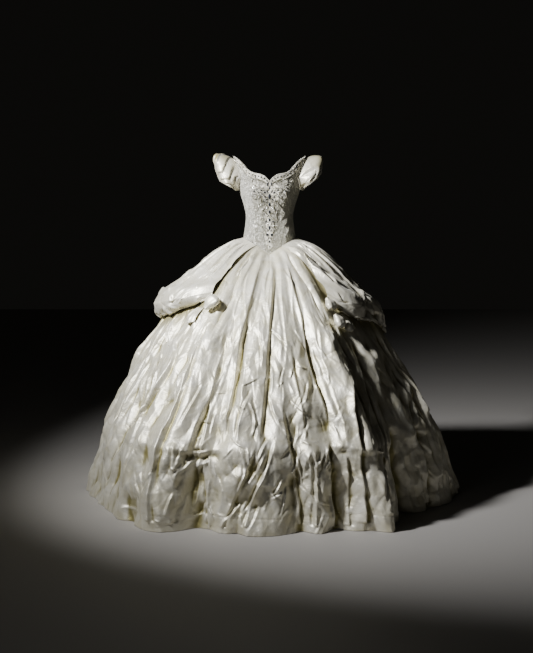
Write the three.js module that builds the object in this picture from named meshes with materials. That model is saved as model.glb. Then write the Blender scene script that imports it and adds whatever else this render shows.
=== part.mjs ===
// Wedding dress: an off-the-shoulder ball gown in ivory satin, filled out and hollow, with no wearer.
// Sizes are in millimetres, with +Z up. The origin is the centre of the natural waist, where the
// wearer's figure holds the dress up. The front faces -Y, and the wearer's left side is at +X.
// An azimuth is in degrees round the Z axis: 0 at the front, +90 at the wearer's left, 180 behind.
import * as THREE from 'three';

// Driving sizes
const HEM_Z = -1190;
const WAIST_SEAM = { side: -93.5, frontPoint: -161, backPoint: -124 };
const SEAM_GAP = 0.3;
const BODICE_CLOTH = 2;
const SKIRT_CLOTH = 1.6;
const POUF_CLOTH = 1.6;
const SLEEVE_CLOTH = 1.4;
const BEADED_CLOTH = 1.2;
const PRINCESS_SEAM = 30;
const ARMHOLE = { front: 67, back: 113, top: 248, bottom: 114, corner: 164 };
const BUST = { azimuth: 34, z: 92, out: 17, wide: 21, tall: 46 };
const TORSO_SQUARED = 0.025;
const GATHERS = { count: 30, deep: 4.5, startAt: 0.02, fadesAt: 0.22 };
const BUTTONS = { count: 8, across: 10, thick: 5, top: 108, bottom: -98 };

// The torso inside the bodice, one row for each height: its half width and its depths front and back
const TORSO = [
  { z: -170, side: 116, front: 103, back: 100 },
  { z: -94, side: 113.5, front: 98, back: 95 },
  { z: -50, side: 107, front: 91, back: 86 },
  { z: 0, side: 102.5, front: 85, back: 80 },
  { z: 50, side: 112, front: 90, back: 84 },
  { z: 118, side: 133, front: 97, back: 91 },
  { z: 165, side: 143, front: 95, back: 93 },
  { z: 215, side: 150, front: 88, back: 90 },
  { z: 285, side: 155, front: 78, back: 82 },
];

// The top edge of the bodice and straps from centre front to centre back
const NECKLINE = [
  { azimuth: 0, z: 153 },
  { azimuth: 11, z: 171 },
  { azimuth: 24, z: 182 },
  { azimuth: 38, z: 187 },
  { azimuth: 53, z: 204 },
  { azimuth: 64, z: 229 },
  { azimuth: 76, z: 253 },
  { azimuth: 90, z: 270 },
  { azimuth: 104, z: 258 },
  { azimuth: 120, z: 226 },
  { azimuth: 140, z: 176 },
  { azimuth: 160, z: 138 },
  { azimuth: 180, z: 126 },
];

// The skirt's profile: how far out it is at each part of its drop, at the wearer's right and left,
// in front and behind. The front turns steeper below the hoop, at 0.71 of the drop.
const SKIRT = [
  { drop: 0, right: 0, left: 0, front: 0, back: 0 },
  { drop: 0.012, right: 0.042, left: 0.042, front: 0.045, back: 0.045 },
  { drop: 0.035, right: 0.105, left: 0.105, front: 0.115, back: 0.11 },
  { drop: 0.095, right: 0.208, left: 0.208, front: 0.225, back: 0.22 },
  { drop: 0.17, right: 0.32, left: 0.32, front: 0.34, back: 0.335 },
  { drop: 0.24, right: 0.415, left: 0.41, front: 0.43, back: 0.425 },
  { drop: 0.335, right: 0.53, left: 0.515, front: 0.535, back: 0.52 },
  { drop: 0.43, right: 0.635, left: 0.592, front: 0.63, back: 0.615 },
  { drop: 0.51, right: 0.705, left: 0.672, front: 0.712, back: 0.69 },
  { drop: 0.58, right: 0.757, left: 0.74, front: 0.782, back: 0.75 },
  { drop: 0.65, right: 0.812, left: 0.797, front: 0.845, back: 0.81 },
  { drop: 0.71, right: 0.862, left: 0.85, front: 0.91, back: 0.87 },
  { drop: 0.8, right: 0.918, left: 0.908, front: 0.935, back: 0.92 },
  { drop: 0.875, right: 0.953, left: 0.95, front: 0.96, back: 0.955 },
  { drop: 1, right: 1, left: 1, front: 1, back: 1 },
];

// The hem's radius on the crests of its folds
const HEM = [
  { azimuth: -180, radius: 850 },
  { azimuth: -140, radius: 842 },
  { azimuth: -98, radius: 815 },
  { azimuth: -81, radius: 806 },
  { azimuth: -58, radius: 815 },
  { azimuth: -45, radius: 838 },
  { azimuth: -31, radius: 892 },
  { azimuth: -17, radius: 830 },
  { azimuth: 0, radius: 836 },
  { azimuth: 14, radius: 838 },
  { azimuth: 25, radius: 862 },
  { azimuth: 31, radius: 910 },
  { azimuth: 35, radius: 852 },
  { azimuth: 41, radius: 818 },
  { azimuth: 60, radius: 826 },
  { azimuth: 72, radius: 842 },
  { azimuth: 82, radius: 820 },
  { azimuth: 98, radius: 817 },
  { azimuth: 140, radius: 842 },
  { azimuth: 180, radius: 850 },
];

// The skirt's troughs: azimuths at the waist, half way down and at the hem, depths half way and at
// the hem, and half the width in degrees. The first eleven show in front, the others go round behind.
const TROUGHS = [
  { waist: -60, middle: -74, hem: -72, deep: 14, hemDeep: 36, wide: 7 },
  { waist: -45, middle: -58, hem: -56, deep: 34, hemDeep: 24, wide: 6 },
  { waist: -33, middle: -37, hem: -40, deep: 30, hemDeep: 14, wide: 5 },
  { waist: -20, middle: -23, hem: -22.5, deep: 24, hemDeep: 62, wide: 4.5 },
  { waist: -4, middle: -14.5, hem: -17.5, deep: 30, hemDeep: 34, wide: 4.5 },
  { waist: 6, middle: 0, hem: -9, deep: 18, hemDeep: 26, wide: 4 },
  { waist: 11, middle: 7, hem: 8.5, deep: 16, hemDeep: 74, wide: 4.5 },
  { waist: 14, middle: 18.5, hem: 19.5, deep: 40, hemDeep: 78, wide: 4.5 },
  { waist: 28, middle: 33.5, hem: 28.5, deep: 32, hemDeep: 22, wide: 4.5 },
  { waist: 40, middle: 44.5, hem: 47, deep: 30, hemDeep: 118, wide: 6 },
  { waist: 54, middle: 61, hem: 57.5, deep: 24, hemDeep: 34, wide: 5 },
  { waist: 74, middle: 76, hem: 74, deep: 12, hemDeep: 22, wide: 6 },
  { waist: 95, middle: 96, hem: 98, deep: 22, hemDeep: 40, wide: 6 },
  { waist: 112, middle: 114, hem: 113, deep: 26, hemDeep: 48, wide: 6 },
  { waist: 130, middle: 130, hem: 132, deep: 22, hemDeep: 40, wide: 5.5 },
  { waist: 147, middle: 149, hem: 148, deep: 30, hemDeep: 56, wide: 6 },
  { waist: 165, middle: 164, hem: 166, deep: 24, hemDeep: 44, wide: 5 },
  { waist: 181, middle: 182, hem: 181, deep: 28, hemDeep: 52, wide: 6 },
  { waist: 198, middle: 197, hem: 199, deep: 22, hemDeep: 40, wide: 5 },
  { waist: 216, middle: 217, hem: 215, deep: 30, hemDeep: 54, wide: 6 },
  { waist: 235, middle: 234, hem: 236, deep: 24, hemDeep: 42, wide: 6 },
  { waist: 254, middle: 253, hem: 255, deep: 20, hemDeep: 36, wide: 5.5 },
  { waist: 271, middle: 269, hem: 268, deep: 14, hemDeep: 26, wide: 5.5 },
];

// Each pouf goes out from the waist seam over the skirt, rolls over at its reach and is turned back
// under to where it is tacked down. One row for each section round the side.
const RIGHT_POUF = [
  { azimuth: -153, seam: -142, reach: 395, rollZ: -322, lipZ: -350, tuck: 14 },
  { azimuth: -140, seam: -130, reach: 448, rollZ: -345, lipZ: -405, tuck: 12 },
  { azimuth: -120, seam: -113, reach: 490, rollZ: -376, lipZ: -436, tuck: 10 },
  { azimuth: -100, seam: -96, reach: 502, rollZ: -380, lipZ: -438, tuck: 10 },
  { azimuth: -84, seam: -80, reach: 503, rollZ: -374, lipZ: -430, tuck: 10 },
  { azimuth: -70, seam: -67, reach: 486, rollZ: -358, lipZ: -408, tuck: 10 },
  { azimuth: -56, seam: -54, reach: 452, rollZ: -336, lipZ: -378, tuck: 10 },
  { azimuth: -46, seam: -44, reach: 414, rollZ: -318, lipZ: -352, tuck: 10 },
  { azimuth: -39, seam: -33, reach: 376, rollZ: -308, lipZ: -335, tuck: 8 },
];
const LEFT_POUF = [
  { azimuth: 39, seam: 29, reach: 378, rollZ: -318, lipZ: -345, tuck: 8 },
  { azimuth: 47, seam: 40, reach: 428, rollZ: -345, lipZ: -392, tuck: 10 },
  { azimuth: 57, seam: 52, reach: 458, rollZ: -365, lipZ: -430, tuck: 10 },
  { azimuth: 66, seam: 62, reach: 448, rollZ: -380, lipZ: -438, tuck: 8 },
  { azimuth: 76, seam: 73, reach: 488, rollZ: -408, lipZ: -482, tuck: 10 },
  { azimuth: 90, seam: 87, reach: 504, rollZ: -432, lipZ: -508, tuck: 10 },
  { azimuth: 106, seam: 101, reach: 502, rollZ: -428, lipZ: -500, tuck: 10 },
  { azimuth: 124, seam: 117, reach: 484, rollZ: -398, lipZ: -462, tuck: 10 },
  { azimuth: 140, seam: 131, reach: 446, rollZ: -352, lipZ: -408, tuck: 12 },
  { azimuth: 153, seam: 142, reach: 395, rollZ: -322, lipZ: -350, tuck: 14 },
];

// A pouf's section from the seam (0) to the roll (1), as parts of the way out and down
const POUF_TOP = [
  { step: 0, out: 0, down: 0 },
  { step: 0.16, out: 0.13, down: 0.055 },
  { step: 0.34, out: 0.34, down: 0.23 },
  { step: 0.52, out: 0.56, down: 0.48 },
  { step: 0.7, out: 0.76, down: 0.69 },
  { step: 0.86, out: 0.93, down: 0.84 },
  { step: 1, out: 1, down: 1 },
];

// The knots at the front ends of the poufs: loops of cloth and folded tabs
const LOOPS = [
  { name: 'loop_right', azimuth: -34.6, z: -362, long: 70, wide: 56, deep: 40, tilt: 62 },
  { name: 'loop_left_upper', azimuth: 36.2, z: -366, long: 58, wide: 50, deep: 36, tilt: -72 },
  { name: 'loop_left_lower', azimuth: 37.6, z: -432, long: 62, wide: 44, deep: 36, tilt: -70 },
];
const TABS = [
  { name: 'tab_right', azimuth: -44, z: -372, long: 62, spread: 9.5, lean: -2, standsOff: 22 },
  { name: 'tab_right_side', azimuth: -64, z: -430, long: 100, spread: 5, lean: 8, standsOff: 13 },
  { name: 'tab_left', azimuth: 44.8, z: -402, long: 66, spread: 6.5, lean: 0.5, standsOff: 24 },
];
const LOOP_LIFT = 2.6;
const LOOP_FOLDS = { count: 3, deep: 0.13, twist: 5 };
const TAB_LIFT = 0.9;
const TAB_FORM = { narrowTop: 0.7, hemWave: 6, bend: 2.4 };

// The sleeves differ a little, as their puffs are arranged by hand
const SLEEVES = {
  right: { reach: 214, cuffZ: 152, underarm: 111, puffOut: 48, puffUp: 58 },
  left: { reach: 212, cuffZ: 168, underarm: 116, puffOut: 42, puffUp: 46 },
};
const CUFF = { underarm: 142, half: 62, ease: 8 };
const SLEEVE_PLEATS = { count: 9, deep: 5, lean: 1.1 };
// A sleeve's rim lies this far inside the armhole's edges, and its puff bulges to the front and back
const SLEEVE_RIM = { top: 2.2, bottom: 1.2, corner: 0.4 };
const SLEEVE_BULGE = { aside: 14, lessAtTop: 0.3, fullest: 0.85, crown: 1.3 };

// The beaded centre panel: half its width at each height, and its raised stones
const CENTRE_BEADING = [
  { z: -143, half: 5 },
  { z: -110, half: 17 },
  { z: -60, half: 21 },
  { z: -10, half: 18 },
  { z: 40, half: 22 },
  { z: 78, half: 34 },
  { z: 108, half: 41 },
  { z: 136, half: 27 },
];
const STONES = [
  { x: 0, z: 122, long: 16, wide: 11, high: 4 },
  { x: 17, z: 100, long: 12, wide: 8, high: 3 },
  { x: -17, z: 100, long: 12, wide: 8, high: 3 },
  { x: 0, z: 84, long: 15, wide: 8, high: 3.5 },
  { x: 0, z: 52, long: 14, wide: 8, high: 3.5 },
  { x: 0, z: 20, long: 14, wide: 8, high: 3.5 },
  { x: 0, z: -14, long: 13, wide: 8, high: 3.5 },
  { x: 0, z: -48, long: 12, wide: 8, high: 3 },
  { x: 9, z: -76, long: 10, wide: 7, high: 3 },
  { x: -9, z: -76, long: 10, wide: 7, high: 3 },
  { x: 0, z: -106, long: 12, wide: 8, high: 3 },
];
const BORDER = { stoneEvery: 13, high: 1.6, margin: 0.01, edge: 0.002 };
const BEADWORK_ROWS = { from: 0.1, to: 0.92 };
const BEADWORK_LIFT = BEADED_CLOTH + 2.6 * SEAM_GAP;

// Cloth colours and finishes, as seen in soft studio light
const satin = (color) => new THREE.MeshStandardMaterial({ color, roughness: 0.42, metalness: 0 });
const SATIN = satin(0xece6d6);
const BROCADE = satin(0xe6dfcc);
const BEADWORK = new THREE.MeshStandardMaterial({ color: 0xb9b3a4, roughness: 0.3, metalness: 0.3 });
const COVERED = satin(0xe9e2d0);

const radians = (degrees) => (degrees * Math.PI) / 180;
const mix = (a, b, t) => a + (b - a) * t;
const clamp = (value, low, high) => Math.min(high, Math.max(low, value));
const smooth = (t) => { const s = clamp(t, 0, 1); return s * s * (3 - 2 * s); };

// A column of a table read smoothly between its rows, without overshoot
function read(table, key, at, column) {
  const last = table.length - 1;
  const x = clamp(at, table[0][key], table[last][key]);
  let i = 0;
  while (i < last - 1 && x > table[i + 1][key]) i += 1;
  const rise = (k) => table[k + 1][column] - table[k][column];
  const slope = (k) => rise(k) / (table[k + 1][key] - table[k][key]);
  const tangent = (k) => {
    if (k === 0) return slope(0);
    if (k === last) return slope(last - 1);
    const before = slope(k - 1);
    const after = slope(k);
    return before * after <= 0 ? 0 : (2 * before * after) / (before + after);
  };
  const span = table[i + 1][key] - table[i][key];
  const t = (x - table[i][key]) / span;
  const [a, b] = [table[i][column], table[i + 1][column]];
  const [ta, tb] = [tangent(i) * span, tangent(i + 1) * span];
  return a + t * (ta + t * (3 * (b - a) - 2 * ta - tb + t * (2 * (a - b) + ta + tb)));
}

// A point from its azimuth, its distance from the Z axis and its height
function polar(azimuth, radius, z) {
  const a = radians(azimuth);
  return new THREE.Vector3(radius * Math.sin(a), -radius * Math.cos(a), z);
}

// An azimuth between -180 and 180, and the distance between two azimuths
const wrapped = (azimuth) => azimuth - 360 * Math.round(azimuth / 360);

// The torso's radius: an ellipse at each height, squared a little, with a soft cup on each side
function torsoRadius(azimuth, z) {
  const a = radians(azimuth);
  const side = read(TORSO, 'z', z, 'side');
  const depth = read(TORSO, 'z', z, Math.cos(a) > 0 ? 'front' : 'back');
  const ellipse = 1 / Math.hypot(Math.sin(a) / side, Math.cos(a) / depth);
  const aside = (Math.abs(wrapped(azimuth)) - BUST.azimuth) / BUST.wide;
  const above = (z - BUST.z) / BUST.tall;
  const cup = BUST.out * Math.exp(-aside * aside - above * above);
  return ellipse * (1 + TORSO_SQUARED * Math.sin(2 * a) ** 2) + cup;
}

// The waist seam: a straight-sided point in front and a shallower one behind
function seamZ(azimuth) {
  const a = radians(azimuth);
  const point = Math.cos(a) > 0 ? WAIST_SEAM.frontPoint : WAIST_SEAM.backPoint;
  return mix(point, WAIST_SEAM.side, Math.abs(Math.sin(a)));
}

const necklineZ = (azimuth) => read(NECKLINE, 'azimuth', Math.abs(wrapped(azimuth)), 'z');

// The armhole: an eye-shaped opening under the strap
function armholeZ(azimuth, edge) {
  const half = (ARMHOLE.back - ARMHOLE.front) / 2;
  const across = (azimuth - ARMHOLE.front - half) / half;
  return mix(ARMHOLE[edge], ARMHOLE.corner, across * across);
}

// One trough of the skirt, pressed in along a line that leans on its way down
function troughDepth(trough, azimuth, drop) {
  const lower = smooth((drop - 0.5) / 0.5);
  const centre = mix(mix(trough.waist, trough.middle, smooth(drop / 0.5)), trough.hem, lower);
  const away = wrapped(azimuth - centre) / trough.wide;
  const deep = mix(trough.deep * smooth(drop / 0.4), trough.hemDeep, smooth((drop - 0.55) / 0.45));
  return deep / (1 + away * away) ** 1.5;
}

// The skirt's radius at a height: profile, gathers below the seam, and troughs
function skirtRadius(azimuth, z) {
  const top = seamZ(azimuth);
  const drop = clamp((top - z) / (top - HEM_Z), 0, 1);
  const a = radians(azimuth);
  const frontness = Math.cos(a) ** 2;
  const out = mix(read(SKIRT, 'drop', drop, Math.sin(a) > 0 ? 'left' : 'right'),
    read(SKIRT, 'drop', drop, Math.cos(a) > 0 ? 'front' : 'back'), frontness);
  const seam = torsoRadius(azimuth, top);
  const hem = read(HEM, 'azimuth', wrapped(azimuth), 'radius');
  const fade = smooth(drop / GATHERS.startAt) * (1 - smooth(drop / GATHERS.fadesAt));
  const gathers = GATHERS.deep * fade * Math.cos(radians(azimuth * GATHERS.count));
  const troughs = TROUGHS.reduce((sum, trough) => sum + troughDepth(trough, azimuth, drop), 0);
  return mix(seam, hem, out) + gathers - troughs;
}

// A closed wall between an outer face and an inner face, each a function of u across and v along.
// A tube's u runs all the way round.
function wallBetween(outer, inner, across, along, isTube = false) {
  const columns = across.length;
  const rows = along.length;
  const points = (face) => along.flatMap((v) => across.map((u) => face(u, v)));
  const vertices = [...points(outer), ...points(inner)];
  const faces = [];
  const quad = (a, b, c, d) => faces.push(a, b, c, a, c, d);
  const within = columns * rows;
  const at = (column, row) => row * columns + (column % columns);
  const spans = isTube ? columns : columns - 1;
  for (let row = 0; row < rows - 1; row += 1) {
    for (let column = 0; column < spans; column += 1) {
      const [a, b] = [at(column, row), at(column, row + 1)];
      const [c, d] = [at(column + 1, row + 1), at(column + 1, row)];
      quad(a, b, c, d);
      faces.push(a + within, c + within, b + within, a + within, d + within, c + within);
    }
  }
  for (let column = 0; column < spans; column += 1) {
    const [a, b] = [at(column, 0), at(column + 1, 0)];
    const [c, d] = [at(column, rows - 1), at(column + 1, rows - 1)];
    quad(a, b, b + within, a + within);
    quad(d, c, c + within, d + within);
  }
  for (let row = 0; row < rows - 1 && !isTube; row += 1) {
    const [a, b] = [at(0, row), at(0, row + 1)];
    const [c, d] = [at(columns - 1, row), at(columns - 1, row + 1)];
    quad(b, a, a + within, b + within);
    quad(c, d, d + within, c + within);
  }
  return solidFrom(vertices, faces);
}

// Cloth as a wall whose inner face is the outer one moved in by the thickness
function clothWall(outer, across, along, thickness, isTube = false) {
  const step = 1e-3;
  const inner = (u, v) => {
    const [low, high] = isTube ? [-1, 2] : [0, 1];
    const [u0, u1] = [Math.max(low, u - step), Math.min(high, u + step)];
    const [v0, v1] = [Math.max(0, v - step), Math.min(1, v + step)];
    const along1 = outer(u1, v).sub(outer(u0, v));
    const down = outer(u, v1).sub(outer(u, v0));
    return outer(u, v).addScaledVector(down.cross(along1).normalize(), -thickness);
  };
  return wallBetween(outer, inner, across, along, isTube);
}

function solidFrom(vertices, faces) {
  const geometry = new THREE.BufferGeometry();
  const places = vertices.flatMap((p) => p.toArray());
  geometry.setAttribute('position', new THREE.Float32BufferAttribute(places, 3));
  geometry.setIndex(faces);
  return geometry;
}

// The same piece for the other side of the dress
function mirrored(geometry) {
  const copy = geometry.clone().scale(-1, 1, 1);
  const index = copy.getIndex();
  for (let i = 0; i < index.count; i += 3) {
    const [b, c] = [index.getX(i + 1), index.getX(i + 2)];
    index.setX(i + 1, c);
    index.setX(i + 2, b);
  }
  return copy;
}

const steps = (count) => Array.from({ length: count + 1 }, (_, i) => i / count);
const ring = (count) => Array.from({ length: count }, (_, i) => i / count);

const dress = new THREE.Group();
function add(name, geometry, material) {
  const mesh = new THREE.Mesh(geometry, material);
  mesh.name = name;
  dress.add(mesh);
}
function addPair(name, geometry, material) {
  add(`${name}_left`, geometry, material);
  add(`${name}_right`, mirrored(geometry), material);
}

// A panel on a round form between two azimuths, a part of the seam gap inside each of its edges
function panelPoint(radiusAt, from, to, bottomAt, topAt, u, v) {
  const guess = mix(from, to, u);
  const half = SEAM_GAP / 2;
  const z = mix(topAt(guess) - half, bottomAt(guess) + half, v);
  const radius = radiusAt(guess, z);
  const margin = (half / radius) * (180 / Math.PI);
  const azimuth = mix(from + margin, to - margin, u);
  return polar(azimuth, radiusAt(azimuth, z), z);
}

// A panel of the bodice with its grid, so that what lies on it can be made from its points
function bodicePanel(from, to, bottomAt, topAt, across, along) {
  const outer = (u, v) => panelPoint(torsoRadius, from, to, bottomAt, topAt, u, v);
  return { outer, across: steps(across), along, wall: clothWall(outer, steps(across), along, BODICE_CLOTH) };
}

// A place on the flat facets of a panel, so that a piece laid on it stays parallel to it
function onFacets(panel, u, v) {
  const cell = (lines, at) => {
    let i = 0;
    while (i < lines.length - 2 && at > lines[i + 1]) i += 1;
    return [lines[i], lines[i + 1], (at - lines[i]) / (lines[i + 1] - lines[i])];
  };
  const [u0, u1, s] = cell(panel.across, u);
  const [v0, v1, t] = cell(panel.along, v);
  const near = panel.outer(u0, v0);
  const far = panel.outer(u1, v1);
  const corner = t >= s ? panel.outer(u0, v1) : panel.outer(u1, v0);
  const [first, second] = t >= s ? [t, s] : [s, t];
  return near.clone().lerp(corner, first).addScaledVector(far.sub(corner), second);
}

// Rows of a bodice panel: one below the beaded border, then even ones down to the seam
const BODICE_ROWS = [0, 0.045, 0.1, 0.16, 0.22, 0.28, 0.34, 0.41, 0.49, 0.58, 0.67, 0.76, 0.84, 0.92, 1];
const STRAP_ROWS = [0, 0.5, 1];

// Bodice: centre front, side fronts up to the straps, underarm panels, backs and straps
const { front: ARM_FRONT, back: ARM_BACK } = ARMHOLE;
const BACK_EDGE = 178;
const PANELS = {
  front: bodicePanel(-PRINCESS_SEAM, PRINCESS_SEAM, seamZ, necklineZ, 10, BODICE_ROWS),
  sideFront: bodicePanel(PRINCESS_SEAM, ARM_FRONT, seamZ, necklineZ, 6, BODICE_ROWS),
  underarm: bodicePanel(ARM_FRONT, ARM_BACK, seamZ, (a) => armholeZ(a, 'bottom'), 8, steps(8)),
  back: bodicePanel(ARM_BACK, BACK_EDGE, seamZ, necklineZ, 8, BODICE_ROWS),
  strap: bodicePanel(ARM_FRONT, ARM_BACK, (a) => armholeZ(a, 'top'), necklineZ, 10, STRAP_ROWS),
};

function makeBodice() {
  add('bodice_front', PANELS.front.wall, BROCADE);
  addPair('bodice_side_front', PANELS.sideFront.wall, BROCADE);
  addPair('bodice_underarm', PANELS.underarm.wall, BROCADE);
  addPair('bodice_back', PANELS.back.wall, BROCADE);
  addPair('strap', PANELS.strap.wall, BROCADE);
}

// The closing at centre back: a placket between the backs, and covered buttons on it
function makeClosing() {
  const outer = (u, v) => panelPoint(torsoRadius, BACK_EDGE, 360 - BACK_EDGE, seamZ, necklineZ, u, v);
  const placket = { outer, across: steps(2), along: steps(10) };
  add('placket', clothWall(outer, placket.across, placket.along, BODICE_CLOTH), BROCADE);
  const half = BUTTONS.across / 2;
  const profile = [[0, 0], [0.8, 0], [1, 0.4], [0.65, 0.85], [0, 1]]
    .map(([r, h]) => new THREE.Vector2(r * half, h * BUTTONS.thick));
  const button = new THREE.LatheGeometry(profile, 8);
  const [top, bottom] = [necklineZ(180), seamZ(180)];
  const backAt = (z) => onFacets(placket, 0.5, (top - z) / (top - bottom)).y;
  for (let i = 0; i < BUTTONS.count; i += 1) {
    const z = mix(BUTTONS.top, BUTTONS.bottom, i / (BUTTONS.count - 1));
    const highest = Math.max(backAt(z - half), backAt(z), backAt(z + half));
    add(`button_${i + 1}`, button.clone().translate(0, highest + SEAM_GAP, z), COVERED);
  }
}

// The skirt in five gores of equal width, gathered into the waist seam
const GORE_SPAN = 72;
const GORES = [
  { name: 'skirt_front', columns: 24 },
  { name: 'skirt_side_left', columns: 22 },
  { name: 'skirt_back_left', columns: 19 },
  { name: 'skirt_back_right', columns: 19 },
  { name: 'skirt_side_right', columns: 22 },
].map((gore, i) => ({ ...gore, from: (i - 0.5) * GORE_SPAN, to: (i + 0.5) * GORE_SPAN }));

function gorePanel(gore) {
  const outer = (u, v) => panelPoint(skirtRadius, gore.from, gore.to, () => HEM_Z, seamZ, u, v);
  return { outer, across: steps(gore.columns), along: SKIRT.map((row) => row.drop) };
}

function makeSkirt() {
  for (const gore of GORES) {
    const { outer, across, along } = gorePanel(gore);
    add(gore.name, clothWall(outer, across, along, SKIRT_CLOTH), SATIN);
  }
}

// A place on the facets of the skirt's gores
function onSkirt(azimuth, z) {
  const round = (azimuth - GORES[0].from + 360) % 360;
  const gore = GORES[Math.floor(round / GORE_SPAN)];
  const top = seamZ(azimuth);
  return onFacets(gorePanel(gore), (round % GORE_SPAN) / GORE_SPAN, (top - z) / (top - HEM_Z));
}

// A pouf: from the seam out to its roll, then round its lip and back under to the skirt
const POUF_SEAM = { out: 1.5, up: 2, clear: 1.5, clearAtRoll: 13 };
const POUF_PLEATS = { deep: 3.5, every: 40 };
const ROLL_STARTS = 0.66;
const ROLL_TURN = 130;

function poufPoint(table, u, v) {
  const azimuth = mix(table[0].azimuth, table[table.length - 1].azimuth, u);
  const get = (column) => read(table, 'azimuth', azimuth, column);
  const seamAzimuth = get('seam');
  const top = seamZ(seamAzimuth);
  const start = torsoRadius(seamAzimuth, top) + POUF_SEAM.out;
  const [reach, rollZ, lipZ] = [get('reach'), get('rollZ'), get('lipZ')];
  const step = Math.min(1, v / ROLL_STARTS);
  const turn = clamp((v - ROLL_STARTS) / (1 - ROLL_STARTS), 0, 1);
  const wave = Math.sin((2 * Math.PI * azimuth) / POUF_PLEATS.every);
  const pleat = POUF_PLEATS.deep * wave * Math.sin(Math.PI * step);
  let radius = mix(start, reach, read(POUF_TOP, 'step', step, 'out')) + pleat;
  let z = mix(top + POUF_SEAM.up, rollZ, read(POUF_TOP, 'step', step, 'down'));
  if (turn > 0) {
    const under = skirtRadius(azimuth, lipZ) + get('tuck');
    radius = mix(under, reach, 0.5 + 0.5 * Math.cos(turn * Math.PI));
    z = mix(rollZ, lipZ, Math.sin(radians(turn * ROLL_TURN)));
  }
  const where = mix(seamAzimuth, azimuth, smooth(step * 1.3));
  const clear = skirtRadius(where, z) + mix(POUF_SEAM.clear, POUF_SEAM.clearAtRoll, smooth(step * 6));
  return polar(where, Math.max(radius, clear), z);
}

function makePoufs() {
  const along = [0, 0.05, 0.11, 0.18, 0.28, 0.39, 0.49, 0.58, 0.66, 0.76, 0.88, 1];
  const build = (table) => clothWall((u, v) => poufPoint(table, u, v), steps(24), along, POUF_CLOTH);
  add('pouf_left', build(LEFT_POUF), SATIN);
  add('pouf_right', build(RIGHT_POUF), SATIN);
}

// The way out from the skirt at a place, over a patch the size of a knot
function skirtNormal(azimuth, z) {
  const aside = onSkirt(azimuth + 4, z).sub(onSkirt(azimuth - 4, z));
  const down = onSkirt(azimuth, z - 25).sub(onSkirt(azimuth, z + 25));
  return down.cross(aside).normalize();
}

// The knots that hold the poufs down. A loop is a short puffed tube of cloth, tacked to the skirt.
function makeLoop(loop) {
  const seat = onSkirt(loop.azimuth, loop.z);
  const out = skirtNormal(loop.azimuth, loop.z);
  const tilt = radians(loop.tilt);
  const up = polar(loop.azimuth + 90, 1, 0).cross(out).multiplyScalar(-1).normalize();
  const level = out.clone().cross(up).multiplyScalar(-1);
  const axis = level.clone().multiplyScalar(Math.cos(tilt)).addScaledVector(up, Math.sin(tilt));
  const side = axis.clone().cross(out);
  const centre = seat.addScaledVector(out, loop.deep / 2 + LOOP_LIFT);
  const outer = (u, v) => {
    const angle = -2 * Math.PI * u;
    const folds = LOOP_FOLDS.deep * Math.cos(LOOP_FOLDS.count * angle + LOOP_FOLDS.twist * v);
    const puff = mix(0.5, 1, Math.sin(Math.PI * v)) * (1 + folds);
    return centre.clone()
      .addScaledVector(axis, (v - 0.5) * loop.long)
      .addScaledVector(side, Math.sin(angle) * 0.5 * loop.wide * puff)
      .addScaledVector(out, Math.cos(angle) * 0.5 * loop.deep * puff);
  };
  return clothWall(outer, ring(10), steps(5), POUF_CLOTH, true);
}

// A tab is a folded end of cloth that hangs from a knot and stands off the skirt
function makeTab(tab) {
  const outer = (u, v) => {
    const azimuth = tab.azimuth + (u - 0.5) * tab.spread * mix(TAB_FORM.narrowTop, 1, v) + tab.lean * v;
    const z = tab.z - v * tab.long + TAB_FORM.hemWave * Math.cos(6 * u) * v;
    const point = onSkirt(azimuth, z);
    const fold = tab.standsOff * Math.sin(TAB_FORM.bend * v) * (0.75 + 0.25 * Math.cos(9 * u + 1));
    return point.addScaledVector(polar(azimuth, 1, 0.4).normalize(), POUF_CLOTH + TAB_LIFT + fold);
  };
  return clothWall(outer, steps(6), steps(5), POUF_CLOTH);
}

function makeKnots() {
  LOOPS.forEach((loop) => add(loop.name, makeLoop(loop), SATIN));
  TABS.forEach((tab) => add(tab.name, makeTab(tab), SATIN));
}

// A sleeve: a short puffed tube from the armhole over the top of the arm to its cuff
function sleevePoint(sleeve, u, v) {
  const angle = u * 2 * Math.PI;
  const aside = Math.sin(angle);
  const height = 0.5 + Math.cos(angle) / 2;
  const middle = (ARMHOLE.front + ARMHOLE.back) / 2;
  const azimuth = middle + (middle - ARMHOLE.front - SLEEVE_RIM.corner) * aside;
  const rim = Math.cos(angle) > 0 ? ARMHOLE.top - SLEEVE_RIM.top : ARMHOLE.bottom + SLEEVE_RIM.bottom;
  const armholeRim = mix(rim, ARMHOLE.corner, aside * aside);
  const start = polar(azimuth, torsoRadius(azimuth, armholeRim) + SEAM_GAP, armholeRim);
  const cuff = new THREE.Vector3(mix(CUFF.underarm, sleeve.reach, height), CUFF.half * aside,
    mix(sleeve.underarm, sleeve.cuffZ, height));
  const puff = Math.sin(Math.PI * v ** SLEEVE_BULGE.fullest);
  const fold = v * SLEEVE_PLEATS.lean + SLEEVE_PLEATS.count * u;
  const pleat = SLEEVE_PLEATS.deep * puff * height * (fold - Math.floor(fold) - 0.5);
  const push = new THREE.Vector3(CUFF.ease + sleeve.puffOut * height + pleat,
    SLEEVE_BULGE.aside * aside * (1 - SLEEVE_BULGE.lessAtTop * height),
    sleeve.puffUp * height ** SLEEVE_BULGE.crown + pleat);
  return start.lerp(cuff, v).addScaledVector(push, puff);
}

function makeSleeves() {
  const along = [0, 0.12, 0.28, 0.46, 0.64, 0.82, 1];
  const build = (sleeve) => {
    const outer = (u, v) => sleevePoint(sleeve, -u, v);
    return clothWall(outer, ring(28), along, SLEEVE_CLOTH, true);
  };
  add('sleeve_left', build(SLEEVES.left), SATIN);
  add('sleeve_right', mirrored(build(SLEEVES.right)), SATIN);
}

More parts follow.
